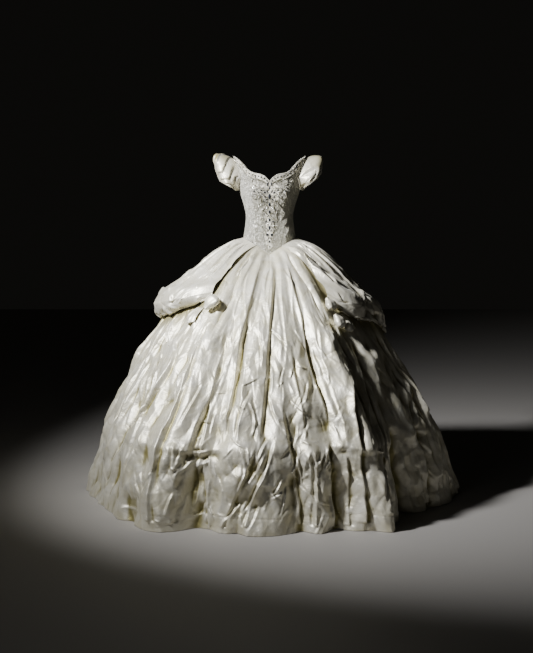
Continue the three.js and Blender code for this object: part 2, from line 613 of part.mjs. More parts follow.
// How far a stone rises at a place on the beaded panel
function stoneHeight(x, z) {
  const heights = STONES.map((stone) => {
    const away = Math.hypot((x - stone.x) / (stone.wide / 2), (z - stone.z) / (stone.long / 2));
    return stone.high * Math.max(0, 1 - (away * away) / 2);
  });
  return Math.max(0, ...heights);
}

// A sheet laid on a panel: place(s, v) gives where on the panel, and rise(point) its raised form
function laidOn(panel, place, across, along, rise) {
  const lifted = (s, v, high) => {
    const point = onFacets(panel, place(s, v), v);
    const out = new THREE.Vector3(point.x, point.y, 0).normalize();
    return point.addScaledVector(out, high);
  };
  const outer = (s, v) => lifted(s, v, BEADWORK_LIFT);
  const raised = (s, v) => lifted(s, v, BEADWORK_LIFT + rise(outer(s, v)));
  const inner = (s, v) => lifted(s, v, BEADWORK_LIFT - BEADED_CLOTH);
  return wallBetween(raised, inner, across, along);
}

// Beadwork: the centre panel and a border below the neckline, laid on the bodice
function makeBeadwork() {
  const rows = BODICE_ROWS.filter((row) => row >= BEADWORK_ROWS.from && row <= BEADWORK_ROWS.to);
  const fine = rows.flatMap((row, i) => (i === rows.length - 1 ? [row] : [row, (row + rows[i + 1]) / 2]));
  const width = (v) => {
    const z = PANELS.front.outer(0.5, v).z;
    return read(CENTRE_BEADING, 'z', z, 'half') / (torsoRadius(0, z) * radians(2 * PRINCESS_SEAM));
  };
  const place = (s, v) => 0.5 + mix(-1, 1, s) * width(v);
  const stones = (point) => stoneHeight(point.x, point.z);
  add('beaded_centre', laidOn(PANELS.front, place, steps(8), fine, stones), BEADWORK);

  const beads = (point) => BORDER.high * Math.cos((point.x * Math.PI) / BORDER.stoneEvery) ** 2;
  const band = (panel, across, until) => laidOn(panel, (s) => mix(BORDER.margin, 1 - BORDER.margin, s),
    steps(across), [BORDER.edge, until / 2, until - BORDER.edge], beads);
  add('beaded_border_front', band(PANELS.front, 20, BODICE_ROWS[1]), BEADWORK);
  addPair('beaded_border_side', band(PANELS.sideFront, 18, BODICE_ROWS[1]), BEADWORK);
  addPair('beaded_border_strap', band(PANELS.strap, 10, STRAP_ROWS[1]), BEADWORK);
}

makeBodice();
makeClosing();
makeSkirt();
makePoufs();
makeKnots();
makeSleeves();
makeBeadwork();

export default dress;
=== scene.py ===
"""Wedding dress: an off-the-shoulder ball gown in ivory satin, with a beaded basque bodice.

Sizes in the tables are in millimetres and degrees. Azimuth 0 is the front (-Y), +90 the wearer's left (+X).
"""
import math

import bpy
import numpy as np
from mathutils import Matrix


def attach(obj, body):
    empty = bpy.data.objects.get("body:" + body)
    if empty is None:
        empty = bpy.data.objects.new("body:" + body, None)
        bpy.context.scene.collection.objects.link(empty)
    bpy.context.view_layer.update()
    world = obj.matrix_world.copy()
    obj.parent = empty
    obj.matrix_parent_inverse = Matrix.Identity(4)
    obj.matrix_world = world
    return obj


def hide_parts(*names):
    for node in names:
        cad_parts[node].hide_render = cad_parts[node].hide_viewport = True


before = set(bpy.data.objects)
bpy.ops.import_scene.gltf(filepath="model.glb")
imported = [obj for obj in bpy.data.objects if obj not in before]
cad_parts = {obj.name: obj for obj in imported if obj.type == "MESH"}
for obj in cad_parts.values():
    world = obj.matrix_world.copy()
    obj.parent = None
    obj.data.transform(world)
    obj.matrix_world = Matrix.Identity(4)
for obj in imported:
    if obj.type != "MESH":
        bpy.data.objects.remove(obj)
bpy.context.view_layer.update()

MM = 0.001
HEM_Z = -1190

# Form, from the same sizes as the solids

WAIST_SEAM = {"side": -93.5, "front": -161, "back": -124}
ARMHOLE = {"front": 67, "back": 113, "top": 248, "bottom": 114, "corner": 164}
BUST = {"azimuth": 34, "z": 92, "out": 17, "wide": 21, "tall": 46}
GATHERS = {"count": 30, "deep": 4.5, "fades_at": 0.22}

# Torso: height, half width, depth in front, depth behind
TORSO = np.array([
    (-170, 116, 103, 100), (-94, 113.5, 98, 95), (-50, 107, 91, 86), (0, 102.5, 85, 80), (50, 112, 90, 84),
    (118, 133, 97, 91), (165, 143, 95, 93), (215, 150, 88, 90), (285, 155, 78, 82),
])
# Top edge of bodice and straps: azimuth, height
NECKLINE = np.array([
    (0, 153), (11, 171), (24, 182), (38, 187), (53, 204), (64, 229), (76, 250), (90, 261), (104, 253),
    (120, 226), (140, 176), (160, 138), (180, 126),
])
# Skirt's profile: part of the drop, then how far out it is at the right, left, front and back
SKIRT = np.array([
    (0, 0, 0, 0, 0), (0.012, 0.042, 0.042, 0.045, 0.045), (0.035, 0.105, 0.105, 0.115, 0.11),
    (0.095, 0.208, 0.208, 0.225, 0.22), (0.17, 0.32, 0.32, 0.34, 0.335), (0.24, 0.415, 0.41, 0.43, 0.425),
    (0.335, 0.53, 0.515, 0.535, 0.52), (0.43, 0.635, 0.592, 0.63, 0.615), (0.51, 0.705, 0.672, 0.712, 0.69),
    (0.58, 0.757, 0.74, 0.782, 0.75), (0.65, 0.812, 0.797, 0.845, 0.81), (0.71, 0.862, 0.85, 0.91, 0.87),
    (0.8, 0.918, 0.908, 0.935, 0.92), (0.875, 0.953, 0.95, 0.96, 0.955), (1, 1, 1, 1, 1),
])
# Hem on the crests of the folds: azimuth, radius
HEM = np.array([
    (-180, 850), (-140, 842), (-98, 815), (-81, 806), (-58, 815), (-45, 838), (-31, 892), (-17, 830),
    (0, 836), (14, 838), (25, 862), (31, 910), (35, 852), (41, 818), (60, 826), (72, 842), (82, 820),
    (98, 817), (140, 842), (180, 850),
])
# Troughs: azimuths at the waist, half way and at the hem, depths half way and at the hem, half width
TROUGHS = [
    (-60, -74, -72, 14, 36, 7), (-45, -58, -56, 34, 24, 6), (-33, -37, -40, 30, 14, 5),
    (-20, -23, -22.5, 24, 62, 4.5), (-4, -14.5, -17.5, 30, 34, 4.5), (6, 0, -9, 18, 26, 4),
    (11, 7, 8.5, 16, 74, 4.5), (14, 18.5, 19.5, 40, 78, 4.5), (28, 33.5, 28.5, 32, 22, 4.5),
    (40, 44.5, 47, 30, 118, 6), (54, 61, 57.5, 24, 34, 5), (74, 76, 74, 12, 22, 6), (95, 96, 98, 22, 40, 6),
    (112, 114, 113, 26, 48, 6), (130, 130, 132, 22, 40, 5.5), (147, 149, 148, 30, 56, 6),
    (165, 164, 166, 24, 44, 5), (181, 182, 181, 28, 52, 6), (198, 197, 199, 22, 40, 5),
    (216, 217, 215, 30, 54, 6), (235, 234, 236, 24, 42, 6), (254, 253, 255, 20, 36, 5.5),
    (271, 269, 268, 14, 26, 5.5),
]
# Poufs: azimuth, azimuth at the seam, reach, height of the roll, height of the lip, tuck
POUFS = {
    "right": np.array([
        (-153, -142, 395, -322, -350, 14), (-140, -130, 448, -345, -405, 12),
        (-120, -113, 490, -376, -436, 10), (-100, -96, 502, -380, -438, 10),
        (-84, -80, 503, -374, -430, 10), (-70, -67, 486, -358, -408, 10),
        (-56, -54, 452, -336, -378, 10), (-46, -44, 414, -318, -352, 10), (-39, -33, 376, -308, -335, 8),
    ]),
    "left": np.array([
        (39, 29, 378, -318, -345, 8), (47, 40, 428, -345, -392, 10), (57, 52, 458, -365, -430, 10),
        (66, 62, 448, -380, -438, 8), (76, 73, 488, -408, -482, 10), (90, 87, 504, -432, -508, 10),
        (106, 101, 502, -428, -500, 10), (124, 117, 484, -398, -462, 10), (140, 131, 446, -352, -408, 12),
        (153, 142, 395, -322, -350, 14),
    ]),
}
POUF_TOP = np.array([
    (0, 0, 0), (0.16, 0.13, 0.055), (0.34, 0.34, 0.23), (0.52, 0.56, 0.48), (0.7, 0.76, 0.69),
    (0.86, 0.93, 0.84), (1, 1, 1),
])
ROLL_STARTS = 0.66
SLEEVES = {
    "right": {"reach": 214, "cuff_z": 152, "underarm": 111, "puff_out": 48, "puff_up": 58,
              "pleats": (11, 0.18, 7)},
    "left": {"reach": 212, "cuff_z": 168, "underarm": 116, "puff_out": 42, "puff_up": 46,
             "pleats": (5, -0.06, 8)},
}


def mix(a, b, t):
    return a + (b - a) * t


def smooth(t):
    s = np.clip(t, 0, 1)
    return s * s * (3 - 2 * s)


def span(start, end, count):
    return np.linspace(start, end, count)


def unit(vectors):
    return vectors / np.maximum(np.linalg.norm(vectors, axis=-1, keepdims=True), 1e-9)


def wrapped(azimuth):
    return azimuth - 360 * np.round(azimuth / 360)


def read(table, at, column):
    """A column of a table read smoothly between its rows, without overshoot."""
    keys, values = table[:, 0], table[:, column]
    slopes = np.diff(values) / np.diff(keys)
    before, after = slopes[:-1], slopes[1:]
    rising = before * after > 0
    inner = np.where(rising, 2 * before * after / np.where(rising, before + after, 1), 0)
    tangents = np.concatenate([slopes[:1], inner, slopes[-1:]])
    x = np.clip(at, keys[0], keys[-1])
    i = np.clip(np.searchsorted(keys, x) - 1, 0, len(keys) - 2)
    wide = keys[i + 1] - keys[i]
    t = (x - keys[i]) / wide
    a, b = values[i], values[i + 1]
    ta, tb = tangents[i] * wide, tangents[i + 1] * wide
    return a + t * (ta + t * (3 * (b - a) - 2 * ta - tb + t * (2 * (a - b) + ta + tb)))


def polar(azimuth, radius, z):
    a = np.radians(azimuth)
    return np.stack(np.broadcast_arrays(radius * np.sin(a), -radius * np.cos(a), z), axis=-1)


def torso_radius(azimuth, z):
    """An ellipse at each height, squared a little, with a soft cup on each side."""
    a = np.radians(azimuth)
    side = read(TORSO, z, 1)
    depth = np.where(np.cos(a) > 0, read(TORSO, z, 2), read(TORSO, z, 3))
    ellipse = 1 / np.hypot(np.sin(a) / side, np.cos(a) / depth)
    aside = (np.abs(wrapped(azimuth)) - BUST["azimuth"]) / BUST["wide"]
    above = (z - BUST["z"]) / BUST["tall"]
    return ellipse * (1 + 0.025 * np.sin(2 * a) ** 2) + BUST["out"] * np.exp(-aside**2 - above**2)


def seam_z(azimuth):
    a = np.radians(azimuth)
    point = np.where(np.cos(a) > 0, WAIST_SEAM["front"], WAIST_SEAM["back"])
    return mix(point, WAIST_SEAM["side"], np.abs(np.sin(a)))


def neckline_z(azimuth):
    return read(NECKLINE, np.abs(wrapped(azimuth)), 1)


def armhole_z(azimuth, edge):
    half = (ARMHOLE["back"] - ARMHOLE["front"]) / 2
    across = (azimuth - ARMHOLE["front"] - half) / half
    return mix(ARMHOLE[edge], ARMHOLE["corner"], across**2)


def drop_at(azimuth, z):
    top = seam_z(azimuth)
    return np.clip((top - z) / (top - HEM_Z), 0, 1)


def skirt_radius(azimuth, z):
    """The skirt's profile, its gathers below the seam, and its troughs."""
    top = seam_z(azimuth)
    drop = drop_at(azimuth, z)
    a = np.radians(azimuth)
    side = np.where(np.sin(a) > 0, read(SKIRT, drop, 2), read(SKIRT, drop, 1))
    depth = np.where(np.cos(a) > 0, read(SKIRT, drop, 3), read(SKIRT, drop, 4))
    out = mix(side, depth, np.cos(a) ** 2)
    fade = smooth(drop / 0.02) * (1 - smooth(drop / GATHERS["fades_at"]))
    radius = mix(torso_radius(azimuth, top), read(HEM, wrapped(azimuth), 1), out)
    radius = radius + GATHERS["deep"] * fade * np.cos(a * GATHERS["count"])
    lower = smooth((drop - 0.5) / 0.5)
    for waist, middle, hem, deep, hem_deep, wide in TROUGHS:
        centre = mix(mix(waist, middle, smooth(drop / 0.5)), hem, lower)
        away = wrapped(azimuth - centre) / wide
        depth_here = mix(deep * smooth(drop / 0.4), hem_deep, smooth((drop - 0.55) / 0.45))
        radius = radius - depth_here / (1 + away**2) ** 1.5
    return radius


# Creases of crisp taffeta-backed satin

# Length of the skirt's slope from seam to hem, and its mean radius on the way, for creases measured in mm
SLOPE = 1330
MEAN_RADIUS = np.array([(0, 105), (0.1, 250), (0.24, 410), (0.43, 575), (0.65, 715), (1, 850)])

# The camera, from which the creases in front are placed
CAMERA = {"place": (-13.1, -5150, 45), "pitch": 5.83, "lens": 79.67, "sensor": 36, "wide": 533, "high": 653}

# Long folds in front: the pixels that each runs through, its height and width in mm, and
# which side of it drops like the edge of a fold: -1 the right, 1 the left, 0 neither
LONG_FOLDS = [
    ([(182, 329), (172, 363), (151, 400), (128, 436), (117, 468), (109, 499)], 22, 17, -1),
    ([(203, 330), (191, 363), (179, 396), (168, 424), (158, 452), (152, 490), (150, 523)], 24, 16, -1),
    ([(224, 345), (214, 390), (205, 410), (197, 428), (190, 450), (184, 470)], 20, 14, -1),
    ([(263, 256), (255, 285), (247, 318), (241, 345), (237, 376), (229, 415), (221, 453)], 21, 15, -1),
    ([(273, 262), (272, 300), (269, 335), (267, 366), (265, 392), (262, 425), (259, 455)], 15, 12, -1),
    ([(283, 256), (292, 285), (299, 310), (307, 355), (321, 400), (333, 437)], 22, 15, -1),
    ([(325, 440), (330, 485), (334, 527)], 26, 15, -1),
    ([(340, 340), (346, 362), (352, 395), (357, 427), (361, 460), (364, 490), (366, 524)], 27, 17, -1),
    ([(352, 345), (363, 385), (371, 420), (382, 460), (392, 500)], 17, 13, -1),
    ([(384, 359), (394, 378), (404, 396), (412, 425), (421, 455), (431, 505)], 19, 14, -1),
    ([(257, 250), (247, 261), (239, 273), (232, 287), (227, 302), (216, 318), (207, 342)], -36, 27, 0),
    ([(253, 253), (246, 260), (240, 268), (235, 277)], 26, 7, 1),
    ([(284, 251), (298, 271), (310, 290), (319, 306), (327, 324)], -20, 13, 0),
    ([(328, 318), (336, 334), (346, 352), (356, 372)], -24, 16, 0),
    ([(277, 258), (281, 300), (285, 340), (284, 372)], 9, 12, 1),
    ([(166, 345), (150, 392), (138, 430), (122, 496)], 12, 12, -1),
    ([(150, 372), (132, 420), (112, 470), (100, 492)], 12, 12, 1),
    ([(212, 392), (203, 440), (196, 480), (190, 520)], 13, 12, 1),
    ([(247, 336), (244, 372), (240, 410), (236, 446)], 10, 10, 1),
    ([(290, 345), (297, 385), (304, 420), (309, 450)], 10, 11, -1),
    ([(312, 330), (326, 372), (338, 410), (346, 450)], 13, 12, 1),
    ([(360, 372), (378, 420), (384, 470), (384, 520)], 14, 12, 1),
    ([(398, 372), (414, 410), (430, 450), (443, 492)], 13, 12, -1),
    ([(281, 400), (288, 440), (296, 480), (300, 524)], 13, 11, -1),
    ([(258, 440), (246, 475), (232, 505), (222, 528)], 15, 10, -1),
    ([(276, 436), (266, 470), (252, 500), (244, 527)], 14, 10, 1),
    ([(312, 446), (316, 480), (314, 526)], 15, 11, 1),
    ([(180, 466), (174, 500), (172, 524)], 14, 11, -1),
    ([(204, 470), (207, 500), (208, 526)], 12, 10, 1),
    ([(346, 452), (350, 490), (349, 526)], 14, 11, -1),
    ([(402, 440), (412, 480), (414, 506)], 12, 11, 1),
]
# Long folds round the sides and back: number, azimuths, drops they start and end at, heights, widths
HIDDEN_FOLDS = (34, (63, 298), (0.06, 0.40), (0.78, 1.04), (13, 25), (12, 18))
# Creases in front: both ends in the picture's pixels, height in mm (minus presses in), width
# in mm, and how sharply one side of it drops like the edge of a fold: 0 is even, 1 and -1 are a knife edge
CREASES = [
    # Crests in the middle, which catch the light
    (252, 270, 243, 320, 7, 10, 0.7), (268, 262, 268, 300, 8, 12, 0.6), (277, 258, 300, 330, 7, 12, 0.5),
    (262, 330, 258, 370, 7, 9, 0.8), (247, 336, 243, 372, 7, 8, 0.8), (274, 366, 268, 396, 8, 8, 0.8),
    (253, 388, 236, 446, 10, 9, 0.9), (248, 398, 262, 430, 7, 8, -0.8), (286, 366, 279, 392, 6, 6, 0.8),
    (308, 378, 297, 410, 8, 7, 0.9), (300, 394, 295, 412, 6, 6, 0.8), (277, 387, 284, 380, 5, 5, 0),
    (289, 379, 294, 368, 6, 6, 0.6), (296, 366, 308, 368, 5, 6, 0), (317, 388, 311, 362, 6, 7, 0.6),
    (326, 374, 331, 388, 6, 7, -0.6), (345, 407, 333, 422, 7, 6, 0.8), (333, 422, 337, 440, 6, 7, -0.8),
    (311, 424, 301, 442, 8, 9, 0.8), (300, 440, 312, 446, 6, 6, 0), (272, 396, 280, 430, 8, 8, 0.7),
    (281, 428, 290, 440, 5, 7, 0.7), (298, 424, 293, 448, 6, 7, 0.7),
    # Facets half way down
    (247, 400, 258, 418, 6, 8, 0.8), (258, 418, 249, 440, 7, 8, -0.8), (240, 384, 262, 377, 7, 5, 0.4),
    (262, 377, 275, 379, 3, 5, 0), (237, 402, 247, 408, 5, 6, 0), (230, 404, 222, 425, 8, 7, 0.9),
    (216, 394, 228, 392, 5, 5, 0.5), (198, 420, 212, 424, 6, 5, 0.5), (205, 432, 196, 440, 5, 5, 0.5),
    (214, 410, 211, 440, 6, 7, 0.8), (230, 435, 246, 448, 6, 6, 0.5), (246, 446, 254, 470, 7, 8, 0.8),
    # Crumple below the hoop
    (250, 470, 236, 500, 9, 8, 0.9), (240, 500, 222, 526, 9, 8, 0.9), (262, 452, 246, 490, 10, 8, 0.9),
    (259, 480, 240, 518, 8, 8, 0.9), (270, 436, 258, 462, 10, 8, 0.9), (300, 446, 290, 476, 9, 8, 0.9),
    (298, 452, 299, 490, 8, 8, -0.9), (282, 478, 272, 498, 8, 8, 0.9), (290, 470, 300, 480, 6, 6, 0),
    (313, 470, 325, 448, 8, 7, 0.7), (312, 474, 300, 448, 7, 7, -0.7), (302, 480, 309, 473, 6, 6, 0),
    (285, 490, 270, 502, 7, 7, 0.6), (284, 484, 282, 520, 7, 8, 0.8), (300, 495, 296, 520, 7, 8, -0.8),
    (318, 500, 330, 506, 6, 5, 0.5), (322, 464, 328, 474, 5, 6, 0), (350, 468, 362, 480, 7, 7, 0.6),
    (362, 492, 347, 516, 7, 7, 0.8), (345, 470, 348, 480, 5, 6, 0), (384, 505, 394, 500, 5, 4, 0),
    (385, 512, 392, 508, 5, 4, 0), (378, 450, 384, 452, 5, 5, 0), (372, 436, 374, 446, 5, 6, 0.6),
    (392, 410, 398, 420, 5, 6, 0.6), (408, 402, 418, 404, 5, 5, 0),
    # Fine lines at the far left
    (166, 345, 147, 396, 8, 9, 0.8), (150, 380, 130, 440, 8, 9, 0.7), (140, 385, 124, 430, 6, 8, 0.7),
    (143, 414, 150, 428, 5, 6, 0.6), (146, 430, 142, 452, 6, 7, 0.7), (136, 440, 122, 496, 7, 9, 0.7),
    (120, 440, 104, 478, 6, 9, 0.7), (190, 360, 172, 400, 8, 8, 0.8), (199, 380, 182, 430, 8, 9, 0.8),
    (172, 410, 160, 440, 7, 8, 0.8), (175, 440, 168, 476, 8, 8, 0.8), (181, 460, 174, 476, 6, 7, -0.8),
    (170, 468, 180, 470, 6, 5, 0), (186, 444, 178, 466, 8, 7, 0.8), (178, 478, 170, 520, 7, 9, 0.7),
    (198, 470, 190, 516, 7, 10, 0.7), (212, 478, 206, 500, 7, 9, 0.7), (206, 500, 216, 520, 6, 8, -0.7),
    (155, 518, 164, 523, 5, 4, 0), (188, 518, 206, 514, 5, 5, 0), (120, 508, 140, 514, 5, 4, 0),
    # The bright cushion of cloth pushed out under the hoop, and the dark line above it
    (190, 449, 208, 451, -9, 7, 0), (190, 451, 182, 470, -12, 8, 0), (195, 468, 212, 462, 10, 16, 0.3),
]
# How much higher than in the table they are made, so that they show on the satin
CREASES_RAISED = 1.5
# Crumple below the hoop and round the back, sown between these bounds: number, azimuths, drops, lengths,
# slant from upright in degrees, heights, widths
CRUMPLE = [
    (110, (-60, 62), (0.73, 0.98), (60, 190), (-32, 32), (4, 9), (6, 12)),
    (90, (-75, 75), (0.30, 0.72), (50, 160), (-56, 56), (4, 8), (5, 9)),
    (30, (62, 300), (0.20, 0.98), (420, 760), (-6, 6), (12, 20), (12, 18)),
    (150, (62, 300), (0.70, 0.98), (70, 230), (-28, 28), (5, 11), (8, 14)),
    (130, (62, 300), (0.28, 0.70), (80, 280), (-30, 30), (4, 9), (7, 14)),
    (130, (-180, 180), (0.03, 0.36), (60, 200), (-24, 24), (3, 8), (5, 10)),
]
# How sharply one side of a sown crease drops
EDGES = [-0.8, -0.4, 0, 0.4, 0.8]
# Flat facets between creases: number round the skirt, rows in the drop, height, and the drops they fade
# in and out at
FACETS = [
    (54, 9, 15.0, (0.22, 0.45, 0.98, 1.05)),
    (110, 18, 8.5, (0.12, 0.4, 1.0, 1.1)),
    (84, 16, 8.0, (0.60, 0.82, 1.0, 1.1)),
    (160, 28, 4.6, (0.06, 0.3, 1.0, 1.1)),
]


def facet_field(seed, columns, rows, azimuth, drop):
    """Heights from -1 to 1 over the skirt that are flat inside each triangle of a jittered net."""
    random = np.random.default_rng(seed)
    shape = (rows + 3, columns)
    shift = (np.arange(rows + 3) % 2)[:, None] * 0.5
    around = (np.arange(columns)[None, :] + shift + random.uniform(-0.34, 0.34, shape)) * 360 / columns
    down = (np.arange(rows + 3)[:, None] - 1 + random.uniform(-0.34, 0.34, shape)) / rows
    value = random.uniform(-1, 1, shape)
    turn = np.mod(azimuth, 360)
    height = np.zeros_like(drop)
    row, column = np.floor(drop * rows).astype(int) + 1, np.floor(turn * columns / 360).astype(int)
    # A place lies in its own cell of the net or, because the corners are moved, in one beside it
    for near_row in (-1, 0, 1):
        r = np.clip(row + near_row, 0, rows + 1)
        for near_column in (-2, -1, 0, 1):
            c = column + near_column
            corners = [(r, c), (r, c + 1), (r + 1, c), (r + 1, c + 1)]
            net = [(around[i, j % columns] + 360 * (j // columns) - turn, down[i, j % columns] - drop,
                    value[i, j % columns]) for i, j in corners]
            for even, odd in (((0, 1, 2), (0, 2, 3)), ((1, 2, 3), (0, 1, 3))):
                p, q, o = ([np.where(r % 2 == 0, net[a][k], net[b][k]) for k in range(3)]
                           for a, b in zip(even, odd))
                area = (q[0] - p[0]) * (o[1] - p[1]) - (q[1] - p[1]) * (o[0] - p[0])
                s = (p[1] * (o[0] - p[0]) - p[0] * (o[1] - p[1])) / area
                t = (p[0] * (q[1] - p[1]) - p[1] * (q[0] - p[0])) / area
                within = (s >= 0) & (t >= 0) & (s + t <= 1)
                height = np.where(within, p[2] + s * (q[2] - p[2]) + t * (o[2] - p[2]), height)
    return height


def sown_creases():
    """The crumple's creases, each as azimuths and drops of both ends, height, width and edge."""
    random = np.random.default_rng(41)
    rows = []
    for count, azimuths, drops, lengths, slants, heights, widths in CRUMPLE:
        for _ in range(count):
            azimuth, drop = random.uniform(*azimuths), random.uniform(*drops)
            long, slant = random.uniform(*lengths), math.radians(random.uniform(*slants))
            radius = np.interp(drop, MEAN_RADIUS[:, 0], MEAN_RADIUS[:, 1])
            aside = math.degrees(long * math.sin(slant) / radius) / 2
            down = long * math.cos(slant) / SLOPE / 2
            high = random.uniform(*heights) * random.choice([1, 1, -0.8])
            rows.append((azimuth - aside, drop - down, azimuth + aside, drop + down, high,
                         random.uniform(*widths), random.choice(EDGES)))
    return rows


def beside_line(x, y, line):
    """How far along a line each place is, as a part of it, how far aside of it, and the line's length."""
    long = math.hypot(*line)
    return (x * line[0] + y * line[1]) / long**2, (x * line[1] - y * line[0]) / long, long


def faded(t, start, end):
    """1 along a line, and down to 0 over these parts of it at its start and its end."""
    return smooth(t / start) * smooth((1 - t) / end)


def fold_profile(away, wide, edge, turn):
    """A crease's height beside its line. A sharp edge drops within the turn to a groove."""
    ridge = np.exp(-np.abs(away) / wide) * (1 + edge * np.tanh(away / turn)) / (1 + abs(edge))
    groove = np.exp(-(((away + np.sign(edge) * 0.8 * wide) / (0.65 * wide)) ** 2))
    return ridge - 0.45 * abs(edge) * groove


# How sharp the edge of a long fold is: 0 is even, 1 a knife edge
SHARP = 0.92


def placed_folds():
    """Each long fold as a table of drop and azimuth, with its height, width and edge."""
    folds = []
    pixels = np.array([pixel for fold in LONG_FOLDS for pixel in fold[0]], dtype=float)
    all_azimuth, all_drop = seen_at(*pixels.T)
    begin = 0
    for fold, high, wide, edge in LONG_FOLDS:
        azimuth, drop = all_azimuth[begin:begin + len(fold)], all_drop[begin:begin + len(fold)]
        begin += len(fold)
        kept = ~np.isnan(azimuth)
        table = np.column_stack([drop, azimuth])[kept]
        if len(table) > 1 and (np.diff(table[:, 0]) > 0).all():
            folds.append((table, high, wide, edge * SHARP))
    random = np.random.default_rng(23)
    count, (first, last), starts, ends, heights, widths = HIDDEN_FOLDS
    for i in range(count):
        azimuth = first + (last - first) * (i + random.uniform(0.15, 0.85)) / count
        drop = np.linspace(random.uniform(*starts), random.uniform(*ends), 5)
        wander = np.cumsum(random.uniform(-1.6, 1.6, 5))
        table = np.column_stack([drop, azimuth + wander])
        folds.append((table, random.uniform(*heights), random.uniform(*widths),
                      random.choice([-SHARP, SHARP])))
    return folds


def fold_height(folds, azimuth, drop):
    """The sum of the long folds at each place, in mm."""
    total = np.zeros_like(drop)
    radius = np.interp(drop, MEAN_RADIUS[:, 0], MEAN_RADIUS[:, 1])
    for table, high, wide, edge in folds:
        start, end = table[0, 0], table[-1, 0]
        away = np.radians(wrapped(azimuth - read(table, drop, 1))) * radius
        near = (drop > start) & (drop < end) & (np.abs(away) < 5 * wide)
        if not near.any():
            continue
        t = (drop[near] - start) / (end - start)
        fades = 0.02 if end >= 0.97 else 0.22
        taper = faded(t, 0.15, fades) * (0.8 + 0.2 * np.sin(9 * t + wide))
        total[near] += high * taper * fold_profile(away[near], wide, edge, 3.6)
    return total


def crease_height(rows, azimuth, drop):
    """The sum of the creases at each place, in mm. Each tapers to nothing at both ends."""
    total = np.zeros_like(drop)
    radius = np.interp(drop, MEAN_RADIUS[:, 0], MEAN_RADIUS[:, 1])
    for az0, drop0, az1, drop1, high, wide, edge in rows:
        middle = (az0 + az1) / 2
        reach = 5 * wide
        near = np.abs(wrapped(azimuth - middle)) <= abs(az1 - az0) / 2 + np.degrees(reach / radius)
        near &= (drop >= min(drop0, drop1) - reach / SLOPE) & (drop <= max(drop0, drop1) + reach / SLOPE)
        if not near.any():
            continue
        ends = np.interp([drop0, drop1], MEAN_RADIUS[:, 0], MEAN_RADIUS[:, 1])
        start = np.array([math.radians(az0 - middle) * ends[0], drop0 * SLOPE])
        line = np.array([math.radians(az1 - middle) * ends[1], drop1 * SLOPE]) - start
        x = np.radians(wrapped(azimuth[near] - middle)) * radius[near] - start[0]
        y = drop[near] * SLOPE - start[1]
        t, away, long = beside_line(x, y, line)
        away = away + 0.06 * long * np.sin(np.pi * t + az0)
        total[near] += high * faded(t, 0.3, 0.4) * fold_profile(away, wide, edge, 2.8)
    return total


def seen_at(x, y):
    """Azimuth and drop of the places of the skirt that the camera sees at pixels x, y of the picture."""
    focal = CAMERA["lens"] / CAMERA["sensor"] * CAMERA["wide"]
    aside, up = (x - CAMERA["wide"] / 2) / focal, (CAMERA["high"] / 2 - y) / focal
    pitch = math.radians(CAMERA["pitch"])
    ray = np.stack([aside, math.cos(pitch) + up * math.sin(pitch),
                    up * math.cos(pitch) - math.sin(pitch)], axis=-1)
    found = np.full((len(x), 3), np.nan)
    for distance in np.arange(4100, 5400, 5):
        point = np.array(CAMERA["place"]) + ray * distance
        azimuth = np.degrees(np.arctan2(point[:, 0], -point[:, 1]))
        z = np.clip(point[:, 2], HEM_Z, seam_z(azimuth))
        inside = np.hypot(point[:, 0], point[:, 1]) <= skirt_radius(azimuth, z)
        new = inside & np.isnan(found[:, 0])
        found[new] = point[new]
    azimuth = np.degrees(np.arctan2(found[:, 0], -found[:, 1]))
    return azimuth, drop_at(azimuth, found[:, 2])


def placed_creases():
    """The creases in front, moved from the picture's pixels onto the skirt."""
    table = np.array(CREASES, dtype=float)
    azimuth0, drop0 = seen_at(table[:, 0], table[:, 1])
    azimuth1, drop1 = seen_at(table[:, 2], table[:, 3])
    high = CREASES_RAISED * table[:, 4]
    placed = np.column_stack([azimuth0, drop0, azimuth1, drop1, high, table[:, 5:]])
    return [tuple(row) for row in placed if not np.isnan(row).any()]


ALL_CREASES = placed_creases() + sown_creases()
ALL_FOLDS = placed_folds()
# Where the hoop's edge shows through the skirt: its drop, then azimuths, half widths in degrees, strengths
HOOP = 0.708
HOOP_SHOWS = [
    (-22, 5, 1.1), (24, 7, 0.6), (-52, 6, 0.25), (61, 7, 0.3), (101, 9, 0.4), (143, 7, 0.3), (178, 9, 0.5),
    (214, 7, 0.3), (256, 9, 0.4),
]
# The skirt's mean height, and the stitches that hold the hem up: how far above it they are, and how deep
# they draw the cloth in
SKIRT_HIGH = -100 - HEM_Z
HEM_TURNED_UP = 62
HEM_PUCKER = 1.5


def skirt_detail(azimuth, drop):
    """What the cloth adds to the skirt's form: creases, facets, the hoop's edge and the turned-up hem."""
    detail = crease_height(ALL_CREASES, azimuth, drop) + fold_height(ALL_FOLDS, azimuth, drop)
    for seed, (columns, rows, high, (begin, full, fade, end)) in enumerate(FACETS):
        part = smooth((drop - begin) / (full - begin)) * (1 - smooth((drop - fade) / (end - fade)))
        detail += high * part * facet_field(70 + seed, columns, rows, azimuth, drop)
    shows = sum(strong * np.exp(-(wrapped(azimuth - centre) / half) ** 2)
                for centre, half, strong in HOOP_SHOWS)
    dips = 0.008 * np.sin(np.radians(azimuth * 13)) + 0.004 * np.sin(np.radians(azimuth * 29))
    below = drop - HOOP - dips
    detail += shows * (6 * np.exp(-(below / 0.008) ** 2) - 11 * np.exp(-((below - 0.024) / 0.012) ** 2))
    from_hem = (1 - drop) * SKIRT_HIGH
    puckers = 0.6 + 0.4 * np.sin(np.radians(azimuth * 41)) * np.sin(np.radians(azimuth * 17))
    detail -= HEM_PUCKER * puckers * np.exp(-((from_hem - HEM_TURNED_UP) / 4) ** 2)
    return detail


